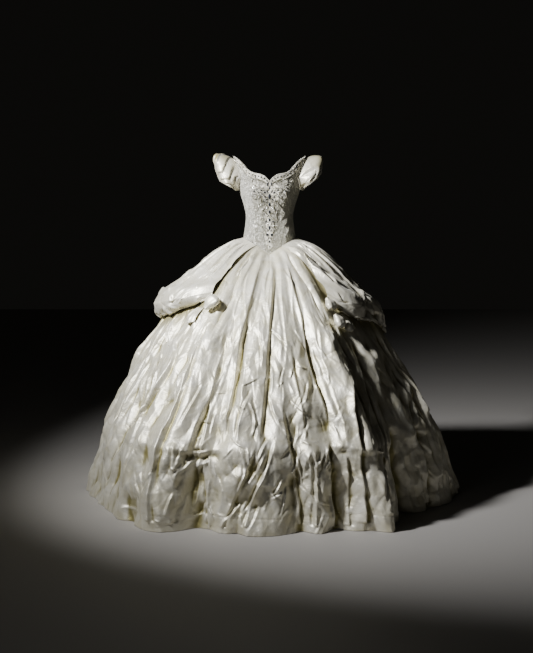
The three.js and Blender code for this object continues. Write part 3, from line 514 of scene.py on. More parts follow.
def skirt_surface(azimuth, z):
    drop = drop_at(azimuth, z)
    settle = smooth(drop / 0.03)
    return skirt_radius(azimuth, z) + settle * skirt_detail(azimuth, drop)


# Meshes


def mesh_object(name, points, faces, material, is_smooth=True):
    """An object from points in mm and faces that all have as many corners."""
    points = np.asarray(points, dtype=float).reshape(-1, 3) * MM
    faces = np.asarray(faces, dtype=np.int32)
    mesh = bpy.data.meshes.new(name)
    mesh.vertices.add(len(points))
    mesh.vertices.foreach_set("co", points.ravel())
    mesh.loops.add(faces.size)
    mesh.loops.foreach_set("vertex_index", faces.ravel())
    mesh.polygons.add(len(faces))
    mesh.polygons.foreach_set("loop_start", np.arange(len(faces), dtype=np.int32) * faces.shape[1])
    mesh.polygons.foreach_set("use_smooth", np.full(len(faces), is_smooth))
    mesh.update(calc_edges=True)
    mesh.validate()
    mesh.materials.append(material)
    piece = bpy.data.objects.new(name, mesh)
    bpy.context.collection.objects.link(piece)
    return piece


def grid_faces(rows, columns, is_tube=False):
    """The quads of a grid of points, row by row. A tube's last column joins its first."""
    across = columns if is_tube else columns - 1
    row, column = np.meshgrid(np.arange(rows - 1), np.arange(across), indexing="ij")
    after = (column + 1) % columns
    a, b = row * columns + column, (row + 1) * columns + column
    c, d = (row + 1) * columns + after, row * columns + after
    return np.stack([a, b, c, d], axis=-1).reshape(-1, 4)


def normals(points, is_tube=False):
    """Which way the cloth faces at each place: outward, for rows down and columns to the left."""
    down = np.gradient(points, axis=0)
    if is_tube:
        across = (np.roll(points, -1, axis=1) - np.roll(points, 1, axis=1)) / 2
    else:
        across = np.gradient(points, axis=1)
    return unit(np.cross(down, across))


def turned_in(points, edge, thick, deep, is_tube=False):
    """Rows added at an edge of the cloth ("first" or "last"): round it, and back along its inner side."""
    out = normals(points, is_tube)
    rows = points if edge == "last" else points[::-1]
    faces_out = out if edge == "last" else out[::-1]
    step = np.linalg.norm(rows[-1] - rows[-2], axis=-1).mean()
    back = max(2, int(round(deep / step)) + 1)
    beyond = unit(rows[-1] - rows[-2])
    rim = rows[-1] - faces_out[-1] * thick / 2 + beyond * thick / 2
    inside = (rows - faces_out * thick)[::-1][:back]
    grown = np.concatenate([rows, rim[None], inside])
    return grown if edge == "last" else grown[::-1]


def blurred(points, reach, is_tube=False):
    """Each place of the grid as the mean of those within its reach, row by row and column by column."""
    for axis in (0, 1):
        mode = "wrap" if is_tube and axis == 1 else "edge"
        wide = [(reach + 1, reach) if a == axis else (0, 0) for a in range(points.ndim)]
        total = np.cumsum(np.pad(points, wide, mode=mode), axis=axis)
        count = points.shape[axis]
        far, near = np.arange(count) + 2 * reach + 1, np.arange(count)
        points = (np.take(total, far, axis) - np.take(total, near, axis)) / (2 * reach + 1)
    return points


# A hollow's reach in places of the grid, and how deep it is in mm when its painted shade is full
HOLLOW_REACH = 7
HOLLOW_DEEP = 6.0


def painted_shade_below_poufs(points):
    """Painted shade below the poufs: how strongly each place of the skirt is tinted for light bounced
    between it and a pouf, from 0 to 1.
    """
    azimuth, share = np.degrees(np.arctan2(points[..., 0], -points[..., 1])), np.zeros(points.shape[:2])
    for table in POUFS.values():
        beside = np.minimum(azimuth - table[0, 0], table[-1, 0] - azimuth)
        above = points[..., 2] - read(table, azimuth, 4)
        share = np.maximum(share, smooth((beside + 6) / 7) * smooth((above + 80) / 70))
    return 0.85 * share


def cloth(name, points, material, is_tube=False, extra_painted_shade=None):
    """One face of cloth. How deep each place lies in a hollow is kept as painted shade for its colour."""
    rows, columns = points.shape[:2]
    piece = mesh_object(name, points, grid_faces(rows, columns, is_tube), material)
    out = normals(points, is_tube)
    # Painted shade: places deep in a fold, and below the poufs, are marked for an olive tint in the satin's
    # colour
    painted_hollow_shade = np.zeros((rows, columns))
    for times in (1, 2.4):
        inward = ((blurred(points, int(HOLLOW_REACH * times), is_tube) - points) * out).sum(axis=-1)
        painted_hollow_shade = np.maximum(painted_hollow_shade, smooth(inward / (HOLLOW_DEEP * times) - 0.15))
    painted_hollow_shade[-4:], painted_hollow_shade[:2] = 0, 0
    # Painted shade below the poufs is added to that of the folds
    if extra_painted_shade:
        painted_hollow_shade = np.maximum(painted_hollow_shade, extra_painted_shade(points))
    mark = piece.data.attributes.new("painted_hollow_shade", "FLOAT", "POINT")
    if len(mark.data) == painted_hollow_shade.size:
        mark.data.foreach_set("value", painted_hollow_shade.ravel().astype(np.float32))
    return piece


def two_sided(name, points, thick, material, is_tube=False):
    """Cloth with both faces and closed edges."""
    rows, columns = points.shape[:2]
    count = rows * columns
    inner = points - normals(points, is_tube) * thick
    outer_faces = grid_faces(rows, columns, is_tube)
    index = np.arange(count).reshape(rows, columns)
    if is_tube:
        index = np.concatenate([index, index[:, :1]], axis=1)
    edges = [index[0], index[-1][::-1]]
    if not is_tube:
        edges += [index[:, 0][::-1], index[:, -1]]
    rims = [np.stack([e[:-1], e[1:], e[1:] + count, e[:-1] + count], axis=-1) for e in edges]
    faces = np.concatenate([outer_faces, outer_faces[:, ::-1] + count] + rims)
    return mesh_object(name, np.concatenate([points.reshape(-1, 3), inner.reshape(-1, 3)]), faces, material)


# Materials


def linear(hex_value):
    """An sRGB hex colour as linear values."""
    parts = [int(hex_value[i:i + 2], 16) / 255 for i in (0, 2, 4)]
    return [c / 12.92 if c <= 0.04045 else ((c + 0.055) / 1.055) ** 2.4 for c in parts]


def add_node(material, kind, settings=None, links=None):
    """A node with its settings and links. A setting is a property's name or an input's name or number."""
    tree = material.node_tree
    node = tree.nodes.new(kind)
    for key, value in (settings or {}).items():
        if isinstance(key, str) and hasattr(node, key):
            setattr(node, key, value)
        else:
            node.inputs[key].default_value = value
    for key, source in (links or {}).items():
        tree.links.new(source, node.inputs[key])
    return node


def new_material(name):
    material = bpy.data.materials.new(name)
    material.use_nodes = True
    material.node_tree.nodes.clear()
    return material


def finish_material(material, shader):
    add_node(material, "ShaderNodeOutputMaterial", links={"Surface": shader.outputs[0]})
    return material


def satin_material(name, light, dark, crumple):
    """Duchess satin: bright, soft-edged highlights over a close weave, and small pressed-in wrinkles."""
    material = new_material(name)
    place = add_node(material, "ShaderNodeTexCoord").outputs["Object"]
    wrinkle = add_node(material, "ShaderNodeTexNoise", {"Scale": 1 / 0.055, "Detail": 5.0, "Roughness": 0.55,
                       "Distortion": 0.8}, {"Vector": place})
    ridge = add_node(material, "ShaderNodeTexNoise", {"Scale": 1 / 0.13, "Detail": 3.0, "Roughness": 0.5,
                     "noise_type": "RIDGED_MULTIFRACTAL"}, {"Vector": place})
    # Slubs of 12 mm by 1 mm stand for the threads, which are 0.1 mm and too fine to show
    stretched = add_node(material, "ShaderNodeMapping", {"Scale": (1, 1, 0.12)}, {"Vector": place})
    weave = add_node(material, "ShaderNodeTexNoise", {"Scale": 1 / 0.0016, "Detail": 2.0},
                     {"Vector": stretched.outputs[0]})
    tint = add_node(material, "ShaderNodeValToRGB", links={"Fac": wrinkle.outputs["Fac"]})
    tint.color_ramp.elements[0].position, tint.color_ramp.elements[1].position = 0.3, 0.72
    tint.color_ramp.elements[0].color = linear(dark) + [1]
    tint.color_ramp.elements[1].color = linear(light) + [1]
    # Painted shade: the colour turns olive-yellow in hollows and below the poufs, standing for light that
    # bounces between the walls of a fold
    painted_hollow_shade = add_node(material, "ShaderNodeAttribute", {"attribute_name": "painted_hollow_shade"})
    painted_shade_tint = add_node(material, "ShaderNodeMix", {"data_type": "RGBA", 7: linear("8c8452") + [1]},
                    {0: painted_hollow_shade.outputs["Fac"], 6: tint.outputs["Color"]})
    gloss = add_node(material, "ShaderNodeMapRange", {"To Min": 0.36, "To Max": 0.52},
                     {"Value": weave.outputs["Fac"]})
    fine = add_node(material, "ShaderNodeBump", {"Strength": 0.12, "Distance": 0.0008},
                    {"Height": weave.outputs["Fac"]})
    broad = add_node(material, "ShaderNodeBump", {"Strength": 1.0, "Distance": crumple * MM},
                     {"Height": ridge.outputs["Fac"], "Normal": fine.outputs[0]})
    small = add_node(material, "ShaderNodeBump", {"Strength": 0.9, "Distance": crumple * MM * 1.6},
                     {"Height": wrinkle.outputs["Fac"], "Normal": broad.outputs[0]})
    shader = add_node(material, "ShaderNodeBsdfPrincipled", {
        "IOR": 1.5, "Specular IOR Level": 0.6, "Metallic": 0.42, "Sheen Weight": 0.08,
        "Sheen Roughness": 0.4,
    }, {"Base Color": painted_shade_tint.outputs[2], "Roughness": gloss.outputs[0], "Normal": small.outputs[0]})
    return finish_material(material, shader)


def brocade_material():
    """Figured brocade: small raised scrolls and leaves in a matter thread on a satin ground."""
    material = new_material("figured_ivory_brocade")
    place = add_node(material, "ShaderNodeTexCoord").outputs["Object"]
    # Scrolls about 14 mm across, as bands of a warped noise
    scroll = add_node(material, "ShaderNodeTexNoise", {"Scale": 1 / 0.018, "Detail": 1.0, "Distortion": 2.2},
                      {"Vector": place})
    band = add_node(material, "ShaderNodeMath", {"operation": "PINGPONG", 1: 0.045},
                    {0: scroll.outputs["Fac"]})
    figure = add_node(material, "ShaderNodeMapRange", {"From Min": 0.013, "From Max": 0.033},
                      {"Value": band.outputs[0]})
    grain = add_node(material, "ShaderNodeTexNoise", {"Scale": 1 / 0.0015, "Detail": 2.0}, {"Vector": place})
    tint = add_node(material, "ShaderNodeMix", {"data_type": "RGBA", 6: linear("8d8972") + [1],
                    7: linear("f1efe4") + [1]}, {0: figure.outputs[0]})
    gloss = add_node(material, "ShaderNodeMapRange", {"To Min": 0.36, "To Max": 0.62},
                     {"Value": figure.outputs[0]})
    fine = add_node(material, "ShaderNodeBump", {"Strength": 0.25, "Distance": 0.0008},
                    {"Height": grain.outputs["Fac"]})
    raised = add_node(material, "ShaderNodeBump", {"Strength": 1.0, "Distance": 0.003},
                      {"Height": figure.outputs[0], "Normal": fine.outputs[0]})
    shader = add_node(material, "ShaderNodeBsdfPrincipled", {
        "IOR": 1.5, "Metallic": 0.25, "Sheen Weight": 0.1, "Sheen Roughness": 0.4,
    }, {"Base Color": tint.outputs[2], "Roughness": gloss.outputs[0], "Normal": raised.outputs[0]})
    return finish_material(material, shader)


SATIN = satin_material("ivory_duchess_satin", "e6e3d4", "d0caae", 3.0)
CRISP_SATIN = satin_material("ivory_satin_poufs", "e8e5d6", "d6d1ba", 2.6)
BROCADE = brocade_material()


# Pieces of cloth

# Thickness of the cloth where its edge shows, and how deep it is turned up at each kind of edge
THICK = {"skirt": 1.8, "pouf": 1.8, "sleeve": 1.6, "bodice": 2, "loop": 1.4}
TURNED = {"hem": 36, "lip": 20, "cuff": 14, "neckline": 22}
# How deep and wide a seam dips into the cloth
GORE_SEAM = {"deep": 1.6, "wide": 3.5}
PANEL_SEAM = {"deep": 1.3, "wide": 2.2}


def fit(piece, slot, *nodes):
    """Every piece rides on the dress's one body and stands for its solids; its slot is not used."""
    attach(piece, "root")
    if nodes:
        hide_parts(*nodes)
    return piece


def skirt_gores():
    """Each gore with its first and last azimuth and the number of its columns and rows."""
    gores = [("skirt_front", -36, 36, 280, 330), ("skirt_side_left", 36, 108, 200, 230),
             ("skirt_back_left", 108, 180, 145, 175), ("skirt_back_right", 180, 252, 145, 175),
             ("skirt_side_right", 252, 324, 200, 230)]
    for name, first, last, columns, rows in gores:
        azimuth = span(first, last, columns)[None, :]
        v = span(0, 1, rows)[:, None]
        z = mix(seam_z(azimuth), HEM_Z + 1, v**0.92)
        azimuth = np.broadcast_to(azimuth, z.shape)
        beside = np.minimum(azimuth - first, last - azimuth) * np.radians(1) * skirt_radius(azimuth, z)
        dip = GORE_SEAM["deep"] * np.exp(-(beside / GORE_SEAM["wide"]) ** 2)
        radius = skirt_surface(azimuth, z) - dip
        points = polar(azimuth, radius, z)
        points = turned_in(points, "last", THICK["skirt"], TURNED["hem"])
        # The skirt also gets painted shade below the poufs
        piece = fit(cloth(name + "_cloth", points, SATIN, extra_painted_shade=painted_shade_below_poufs), "satin", name)


def pouf_surface(table, azimuth, v):
    """A pouf from the seam (v 0) out to its roll, then round its lip and back under (v 1)."""
    seam_azimuth = read(table, azimuth, 1)
    top = seam_z(seam_azimuth)
    start = torso_radius(seam_azimuth, top) + 1.5
    reach, roll_z, lip_z, tuck = (read(table, azimuth, column) for column in (2, 3, 4, 5))
    step = np.minimum(1, v / ROLL_STARTS)
    turn = np.clip((v - ROLL_STARTS) / (1 - ROLL_STARTS), 0, 1)
    pleat = 3.5 * np.sin(np.radians(azimuth * 9)) * np.sin(np.pi * step)
    radius = mix(start, reach, read(POUF_TOP, step, 1)) + pleat
    z = mix(top + 2, roll_z, read(POUF_TOP, step, 2))
    under = skirt_radius(azimuth, lip_z) + tuck
    curl = turn * np.pi * 0.72
    radius = np.where(turn > 0, mix(under, reach, 0.5 + 0.5 * np.cos(turn * np.pi)), radius)
    z = np.where(turn > 0, mix(roll_z, lip_z, np.sin(curl)), z)
    where = mix(seam_azimuth, azimuth, smooth(step * 1.3))
    clear = skirt_radius(where, z) + mix(1.5, 13, smooth(step * 6))
    return polar(where, np.maximum(radius, clear), z)


# Creases of the poufs: both ends as parts of the way round and out, height, width in parts, edge
POUF_CREASES = {
    "right": [
        (0.93, 0.03, 0.90, 0.55, 7, 0.016, 0.7), (0.86, 0.02, 0.84, 0.52, 6, 0.016, -0.6),
        (0.79, 0.05, 0.78, 0.60, 6, 0.018, 0.6), (0.72, 0.02, 0.66, 0.46, 5, 0.018, -0.6),
        (0.80, 0.30, 0.70, 0.62, 6, 0.014, 0.8), (0.70, 0.36, 0.76, 0.60, 5, 0.012, -0.8),
        (0.62, 0.28, 0.56, 0.64, 5, 0.016, 0.6), (0.50, 0.30, 0.52, 0.62, 5, 0.018, -0.5),
        (0.66, 0.52, 0.50, 0.56, 6, 0.014, 0.5), (0.40, 0.10, 0.38, 0.60, 6, 0.02, 0.5),
        (0.28, 0.06, 0.30, 0.58, 7, 0.02, -0.6), (0.16, 0.08, 0.17, 0.60, 7, 0.02, 0.6),
        (0.08, 0.04, 0.07, 0.50, 6, 0.018, -0.6), (0.58, 0.70, 0.62, 0.98, 6, 0.014, 0.4),
        (0.74, 0.68, 0.78, 0.97, 6, 0.014, -0.4), (0.36, 0.70, 0.34, 0.98, 6, 0.016, 0.4),
    ],
    "left": [
        (0.05, 0.03, 0.09, 0.62, 9, 0.030, 0), (0.15, 0.10, 0.19, 0.72, -13, 0.026, 0),
        (0.20, 0.03, 0.21, 0.62, 6, 0.014, -0.7), (0.27, 0.04, 0.25, 0.58, 7, 0.014, 0.7),
        (0.33, 0.03, 0.34, 0.60, 6, 0.015, -0.6), (0.15, 0.30, 0.07, 0.50, 6, 0.012, 0.8),
        (0.22, 0.34, 0.29, 0.64, 6, 0.012, 0.7), (0.30, 0.46, 0.22, 0.66, 5, 0.012, -0.7),
        (0.42, 0.06, 0.43, 0.60, 6, 0.018, 0.5), (0.52, 0.08, 0.51, 0.62, 6, 0.02, -0.5),
        (0.63, 0.10, 0.64, 0.60, 7, 0.02, 0.5), (0.74, 0.08, 0.73, 0.58, 7, 0.02, -0.5),
        (0.84, 0.06, 0.83, 0.60, 7, 0.02, 0.6), (0.93, 0.05, 0.93, 0.52, 6, 0.018, -0.6),
        (0.24, 0.70, 0.20, 0.97, 6, 0.012, 0.4), (0.40, 0.70, 0.44, 0.98, 6, 0.014, -0.4),
    ],
}
POUF_CREASES_RAISED = 2.1


def part_creases(rows, u, v, shape=1.0):
    """Creases laid on a piece by parts of its width and length."""
    total = np.zeros(np.broadcast(u, v).shape)
    for u0, v0, u1, v1, high, wide, edge in rows:
        t, away, long = beside_line(u - u0, (v - v0) * shape, (u1 - u0, (v1 - v0) * shape))
        away = away + 0.05 * long * np.sin(np.pi * t + 9 * u0)
        total += high * faded(t, 0.3, 0.4) * fold_profile(away, wide, edge, 0.25 * wide)
    return total


def sown_parts(seed, count, u_range, v_range, lengths, slants, heights, widths):
    """Creases sown on a piece between bounds, some raised and some pressed in."""
    random = np.random.default_rng(seed)
    rows = []
    for _ in range(count):
        u, v, long = random.uniform(*u_range), random.uniform(*v_range), random.uniform(*lengths)
        slant = math.radians(random.uniform(*slants))
        aside, down = long * math.sin(slant) / 2, long * math.cos(slant) / 2
        high = random.uniform(*heights) * random.choice([1, -1])
        rows.append((u - aside, v - down, u + aside, v + down, high,
                     random.uniform(*widths), random.choice(EDGES)))
    return rows


def poufs():
    for side, table in POUFS.items():
        rows, columns = 130, 220
        u = span(0, 1, columns)[None, :]
        v = span(0, 1, rows)[:, None]
        azimuth = np.broadcast_to(mix(table[0, 0], table[-1, 0], u), (rows, columns))
        points = pouf_surface(table, azimuth, np.broadcast_to(v, (rows, columns)))
        seed = 7 if side == "right" else 8
        sown = sown_parts(seed, 90, (0, 1), (0.1, 0.66), (0.06, 0.24), (-40, 40), (3, 8), (0.006, 0.013))
        sown += sown_parts(seed + 4, 60, (0, 1), (0.62, 0.96), (0.06, 0.20), (-60, 60), (5, 10),
                           (0.008, 0.015))
        placed = part_creases(POUF_CREASES[side], u, v, 0.8)
        high = part_creases(sown, u, v, 0.8) + POUF_CREASES_RAISED * placed
        high = high * smooth(v / 0.08) * smooth((1 - v) / 0.04)
        points = points + normals(points) * high[..., None]
        points = turned_in(points, "last", THICK["pouf"], TURNED["lip"])
        piece = fit(cloth(f"pouf_{side}_cloth", points, CRISP_SATIN), "satin", f"pouf_{side}")


def facet_point(azimuth, z):
    return polar(azimuth, skirt_radius(azimuth, z), z)


def skirt_normal(azimuth, z):
    aside = facet_point(azimuth + 4, z) - facet_point(azimuth - 4, z)
    down = facet_point(azimuth, z - 25) - facet_point(azimuth, z + 25)
    return unit(np.cross(down, aside))


# Rosette loops: azimuth, height, length, width, depth, tilt
LOOPS = {
    "loop_right": (-34.6, -362, 70, 56, 40, 62),
    "loop_left_upper": (36.2, -366, 58, 50, 36, -72),
    "loop_left_lower": (37.6, -432, 62, 44, 36, -70),
}
# Folded ends: azimuth, height, length, spread, lean, how far they stand off
TABS = {
    "tab_right": (-44, -372, 62, 9.5, -2, 22),
    "tab_right_side": (-64, -430, 100, 5, 8, 13),
    "tab_left": (44.8, -402, 66, 6.5, 0.5, 24),
}


def loops():
    u = span(0, 1, 73)[None, :-1]
    v = span(0, 1, 32)[:, None]
    for name, (azimuth, z, long, wide, deep, tilt) in LOOPS.items():
        seat = facet_point(azimuth, z)
        out = skirt_normal(azimuth, z)
        up = unit(-np.cross(polar(azimuth + 90, 1, 0), out))
        level = -np.cross(out, up)
        axis = level * math.cos(math.radians(tilt)) + up * math.sin(math.radians(tilt))
        side = np.cross(axis, out)
        centre = seat + out * (deep / 2 + 2.6)
        angle = -2 * np.pi * u
        # Pinched at one end, full in the middle and gathered in at the other, in three soft folds
        tooth = (3 * u + 0.35 * v) % 1
        folds = smooth(np.where(tooth < 0.7, tooth / 0.7, (1 - tooth) / 0.3)) - 0.5
        puff = mix(0.42, 1.12, smooth(v * 1.8)) * (1 - 0.45 * smooth((v - 0.72) / 0.28) ** 2)
        puff = puff * (1 + 0.20 * folds) * (1 + 0.06 * np.cos(2 * angle + 4 * v))
        points = (centre + axis * ((v - 0.5) * long)[..., None]
                  + side * (np.sin(angle) * 0.5 * wide * puff)[..., None]
                  + out * (np.cos(angle) * 0.5 * deep * puff)[..., None])
        piece = two_sided(name + "_cloth", points, THICK["loop"], CRISP_SATIN, is_tube=True)
        fit(piece, "satin", name)


def tabs():
    u = span(0, 1, 32)[None, :]
    v = span(0, 1, 28)[:, None]
    for name, (middle, top, long, spread, lean, stands_off) in TABS.items():
        azimuth = middle + (u - 0.5) * spread * mix(0.7, 1, v) + lean * v
        z = top - v * long + 6 * np.cos(6 * u) * v
        fold = stands_off * np.sin(2.4 * v) * (0.75 + 0.25 * np.cos(9 * u + 1))
        points = facet_point(azimuth, z) + unit(polar(middle, 1, 0.4)) * (2.5 + fold)[..., None]
        piece = two_sided(name + "_cloth", points, THICK["loop"], CRISP_SATIN)
        fit(piece, "satin", name)


# How far the armhole reaches to each side of the azimuth 90, and how far out the sleeve's cuff is under the
# arm and how deep it is to each side
ARMHOLE_HALF = 22.6
CUFF = {"inside": 142, "half_deep": 62}


def sleeve_surface(sleeve, u, v):
    """A short puffed tube from the armhole over the top of the arm to its cuff, in crisp slanting pleats."""
    angle = u * 2 * np.pi
    aside = np.sin(angle)
    height = 0.5 + np.cos(angle) / 2
    azimuth = 90 + ARMHOLE_HALF * aside
    rim = np.where(np.cos(angle) > 0, ARMHOLE["top"] - 2.2, ARMHOLE["bottom"] + 1.2)
    rim = mix(rim, ARMHOLE["corner"], aside**2)
    start = polar(azimuth, torso_radius(azimuth, rim) + 0.3, rim)
    cuff = np.stack(np.broadcast_arrays(mix(CUFF["inside"], sleeve["reach"], height),
                                        CUFF["half_deep"] * aside,
                                        mix(sleeve["underarm"], sleeve["cuff_z"], height)), axis=-1)
    puff = np.sin(np.pi * v**0.85)
    turn = v * 1.1 + 9 * u
    tooth = turn - np.floor(turn)
    # The tooth rises slowly and falls over a tenth of its width, like a pressed pleat
    pleat = 5 * puff * height * (np.where(tooth < 0.9, tooth / 0.9, (1 - tooth) / 0.1) - 0.5)
    push = np.stack(np.broadcast_arrays(8 + sleeve["puff_out"] * height + pleat,
                                        14 * aside * (1 - 0.3 * height),
                                        sleeve["puff_up"] * height**1.3 + pleat), axis=-1)
    return mix(start, cuff, v[..., None]) + push * puff[..., None]


def sleeves():
    for side, sleeve in SLEEVES.items():
        rows, columns = 60, 190
        u = np.broadcast_to(-np.arange(columns)[None, :] / columns, (rows, columns))
        v = np.broadcast_to(span(0, 1, rows)[:, None], (rows, columns))
        points = sleeve_surface(sleeve, u, v)
        sown = sown_parts(21, 40, (-0.95, -0.05), (0.15, 0.9), (0.06, 0.22), (-60, 60), (1, 3),
                          (0.006, 0.012))
        count, slant, deep = sleeve["pleats"]
        tooth = (count * (u + slant * np.sin(np.pi * v))) % 1
        pressed = deep * (np.where(tooth < 0.82, tooth / 0.82, (1 - tooth) / 0.18) - 0.6)
        high = (part_creases(sown, u, v, 0.35) + pressed) * smooth(v / 0.12) * smooth((1 - v) / 0.12)
        points = points + normals(points, True) * high[..., None]
        points = turned_in(points, "last", THICK["sleeve"], TURNED["cuff"], is_tube=True)
        if side == "right":
            points = (points * (-1, 1, 1))[:, ::-1]
        piece = cloth(f"sleeve_{side}_cloth", points, CRISP_SATIN, is_tube=True)
        fit(piece, "satin", f"sleeve_{side}")


# Soft drag lines of the bodice: azimuths and heights of both ends, height and width in mm, and how much
# higher than in the table they are made
DRAG_LINES = [
    (-58, -20, -30, -64, 1.6, 7), (-62, -2, -34, -38, 1.4, 7), (-50, 18, -30, -14, 1.2, 6),
    (48, 22, 24, -30, 1.6, 7), (60, 4, 32, -52, 1.6, 8), (64, -30, 40, -84, 1.4, 7),
    (-70, 50, -52, 10, 1.2, 7), (70, 60, 50, 12, 1.2, 7), (30, -60, 44, -100, 1.4, 6),
    (-30, -70, -42, -104, 1.2, 6), (100, 10, 130, -40, 1.4, 8), (120, -20, 150, -70, 1.4, 8),
    (240, 12, 214, -44, 1.4, 8), (258, -24, 226, -74, 1.4, 8),
]
DRAG_LINES_RAISED = 1.5
# Radius by which azimuths on the bodice become mm, beside its drag lines and beside its seams
BODICE_RADIUS = {"drag": 110, "seam": 115}


def bodice_surface(azimuth, z):
    radius = torso_radius(azimuth, z)
    for az0, z0, az1, z1, high, wide in DRAG_LINES:
        x, y = np.radians(wrapped(azimuth - az0)) * BODICE_RADIUS["drag"], z - z0
        line = (math.radians(az1 - az0) * BODICE_RADIUS["drag"], z1 - z0)
        t, away, _ = beside_line(x, y, line)
        radius = radius + DRAG_LINES_RAISED * high * faded(t, 0.4, 0.4) * np.exp(-(away / wide) ** 2)
    return radius


def bodice_panel(name, first, last, bottom_at, top_at, columns, rows):
    """A panel between two seams. It dips a little into each seam, and its free top edge is turned in."""
    azimuth = np.broadcast_to(span(first, last, columns)[None, :], (rows, columns))
    v = span(0, 1, rows)[:, None]
    z = mix(top_at(azimuth) - 1, bottom_at(azimuth), v)
    beside = np.minimum(azimuth - first, last - azimuth) * np.radians(1) * BODICE_RADIUS["seam"]
    pucker = 0.35 * np.sin(z * 0.9) * np.exp(-(beside / 7) ** 2)
    dip = PANEL_SEAM["deep"] * np.exp(-(beside / PANEL_SEAM["wide"]) ** 2)
    radius = bodice_surface(azimuth, z) - dip + pucker
    points = turned_in(polar(azimuth, radius, z), "first", THICK["bodice"], TURNED["neckline"])
    return fit(cloth(name + "_cloth", points, BROCADE), "brocade", name)


def armhole_bottom(azimuth):
    return armhole_z(np.abs(azimuth), "bottom")


def armhole_top(azimuth):
    return armhole_z(np.abs(azimuth), "top")


def bodice():
    """Each panel with its azimuths, edges, columns and rows, and its cut: width, length and area in m."""
    panels = [
        ("bodice_front", -30, 30, seam_z, neckline_z, 60, 130, 0.14, 0.33, 0.036),
        ("bodice_side_front_left", 30, 67, seam_z, neckline_z, 40, 130, 0.10, 0.36, 0.026),
        ("bodice_side_front_right", -67, -30, seam_z, neckline_z, 40, 130, 0.10, 0.36, 0.026),
        ("bodice_underarm_left", 67, 113, seam_z, armhole_bottom, 44, 100, 0.11, 0.26, 0.024),
        ("bodice_underarm_right", -113, -67, seam_z, armhole_bottom, 44, 100, 0.11, 0.26, 0.024),
        ("bodice_back_left", 113, 178, seam_z, neckline_z, 56, 130, 0.13, 0.34, 0.036),
        ("bodice_back_right", -178, -113, seam_z, neckline_z, 56, 130, 0.13, 0.34, 0.036),
        ("strap_left", 67, 113, armhole_top, neckline_z, 60, 24, 0.14, 0.06, 0.007),
        ("strap_right", -113, -67, armhole_top, neckline_z, 60, 24, 0.14, 0.06, 0.007),
        ("placket", 178, 182, seam_z, neckline_z, 10, 130, 0.010, 0.24, 0.0022),
    ]
    for name, first, last, bottom_at, top_at, columns, rows, wide, long, area in panels:
        piece = bodice_panel(name, first, last, bottom_at, top_at, columns, rows)


# Beadwork

# Half the width of the beaded centre at each height
CENTRE_BEADING = np.array([
    (-143, 5), (-110, 17), (-60, 21), (-10, 18), (40, 22), (78, 34), (108, 41), (136, 27),
])
# Crystals of the centre: x round the bodice, height, length, width, turn in degrees, whether pointed. Those
# off the middle are on both sides.
CRYSTALS = [
    (0, 122, 14, 7, 0, True), (0, 86, 24, 13, 0, True), (0, 52, 17, 9, 0, True), (0, 20, 17, 9, 0, True),
    (0, -14, 16, 8, 0, True), (0, -48, 18, 9, 0, True), (0, -106, 11, 7, 0, True),
    (0, -128, 5, 5, 0, False), (9, -78, 11, 11, 0, False), (8, 138, 19, 8, -16, True),
    (19, 102, 15, 7, 58, True), (10, 107, 14, 6, 30, True), (13, 72, 14, 6, -52, True),
    (19, 84, 8, 8, 0, False), (8, 38, 9, 4.5, 35, True), (12, 62, 6, 6, 0, False),
    (7, 3, 9, 4.5, -32, True), (13, 34, 6, 6, 0, False), (14, 12, 5, 5, 0, False),
    (7, -32, 9, 4.5, 32, True), (15, -22, 8, 8, 0, False), (8, -60, 8, 4, -28, True),
    (15, -50, 5, 5, 0, False), (5, -92, 7, 4, 24, True), (33, 112, 8, 8, 0, False),
    (29, 96, 9, 5, -40, True), (40, 100, 9, 5, 32, True), (36, 84, 6, 6, 0, False),
    (47, 116, 6, 6, 0, False), (57, 108, 8, 8, 0, False), (62, 122, 6, 6, 0, False),
    (52, 94, 8, 5, 20, True), (26, 122, 5, 5, 0, False), (24, 66, 7, 7, 0, False),
    (29, 58, 5, 5, 0, False), (26, 28, 6, 6, 0, False),
]
# Scrolls of beads on both sides: x, height, heading from upright, length, turning at its start and its end
# in degrees a millimetre
SCROLLS = [
    (3, 134, 62, 66, 0.3, -2.2), (5, 112, 84, 52, 0.9, 7.5), (22, 108, 20, 44, 3.0, 9.0),
    (4, 70, 35, 60, 0.4, 8.0), (4, 66, 120, 38, -1.0, -8.5), (3, 38, 40, 48, 0.6, 9.0),
    (3, 30, 130, 34, -1.2, -9.0), (3, 2, 30, 44, 0.8, 9.5), (4, -4, 140, 40, -1.0, -8.5),
    (3, -30, 32, 40, 0.8, 10.0), (3, -36, 150, 40, -1.4, -9.0), (3, -64, 28, 34, 0.9, 11.0),
    (4, -92, 150, 26, -2.0, -9.0), (38, 122, 100, 50, 1.6, 8.0), (50, 128, 60, 44, -1.0, -8.0),
    (22, 76, 150, 64, -0.4, 1.4), (18, 44, 168, 60, -0.3, 1.2), (17, -18, 172, 62, 0.2, 1.6),
    (58, 100, 150, 34, 2.0, 9.0),
]
# Beads: how far apart and how big they are along a scroll's dark line and along the pearls beside it, how
# far the pearls are from it, and how high beads and stones are over the bodice
LINE = {"apart": 2.4, "radius": 1.5}
PEARLS = {"apart": 2.6, "radius": 1.2, "beside": 2.8}
BEADS_LIFT = 2.0
STONES_LIFT = 1.5
# Border: how far below the neckline its two lines of pearls, its dark line and its stones are, and how far
# the wave of beads between them swings
BORDER = {"top": 3, "bottom": 23, "dark": 25.6, "middle": 12.5, "swing": 5}


def on_bodice(azimuth, z, lift):
    """Places on the bodice, with the directions across, up and out there."""
    def at(a, h):
        return polar(a, bodice_surface(a, h), h)

    across = unit(at(azimuth + 0.4, z) - at(azimuth - 0.4, z))
    out = unit(np.cross(across, at(azimuth, z + 0.7) - at(azimuth, z - 0.7)))
    lift = np.broadcast_to(lift, np.shape(azimuth))
    return at(azimuth, z) + out * lift[..., None], across, np.cross(out, across), out


def from_middle(x, z):
    """The azimuth that lies x mm round the bodice from the middle of its front."""
    return np.degrees(x / torso_radius(np.zeros_like(z), z))


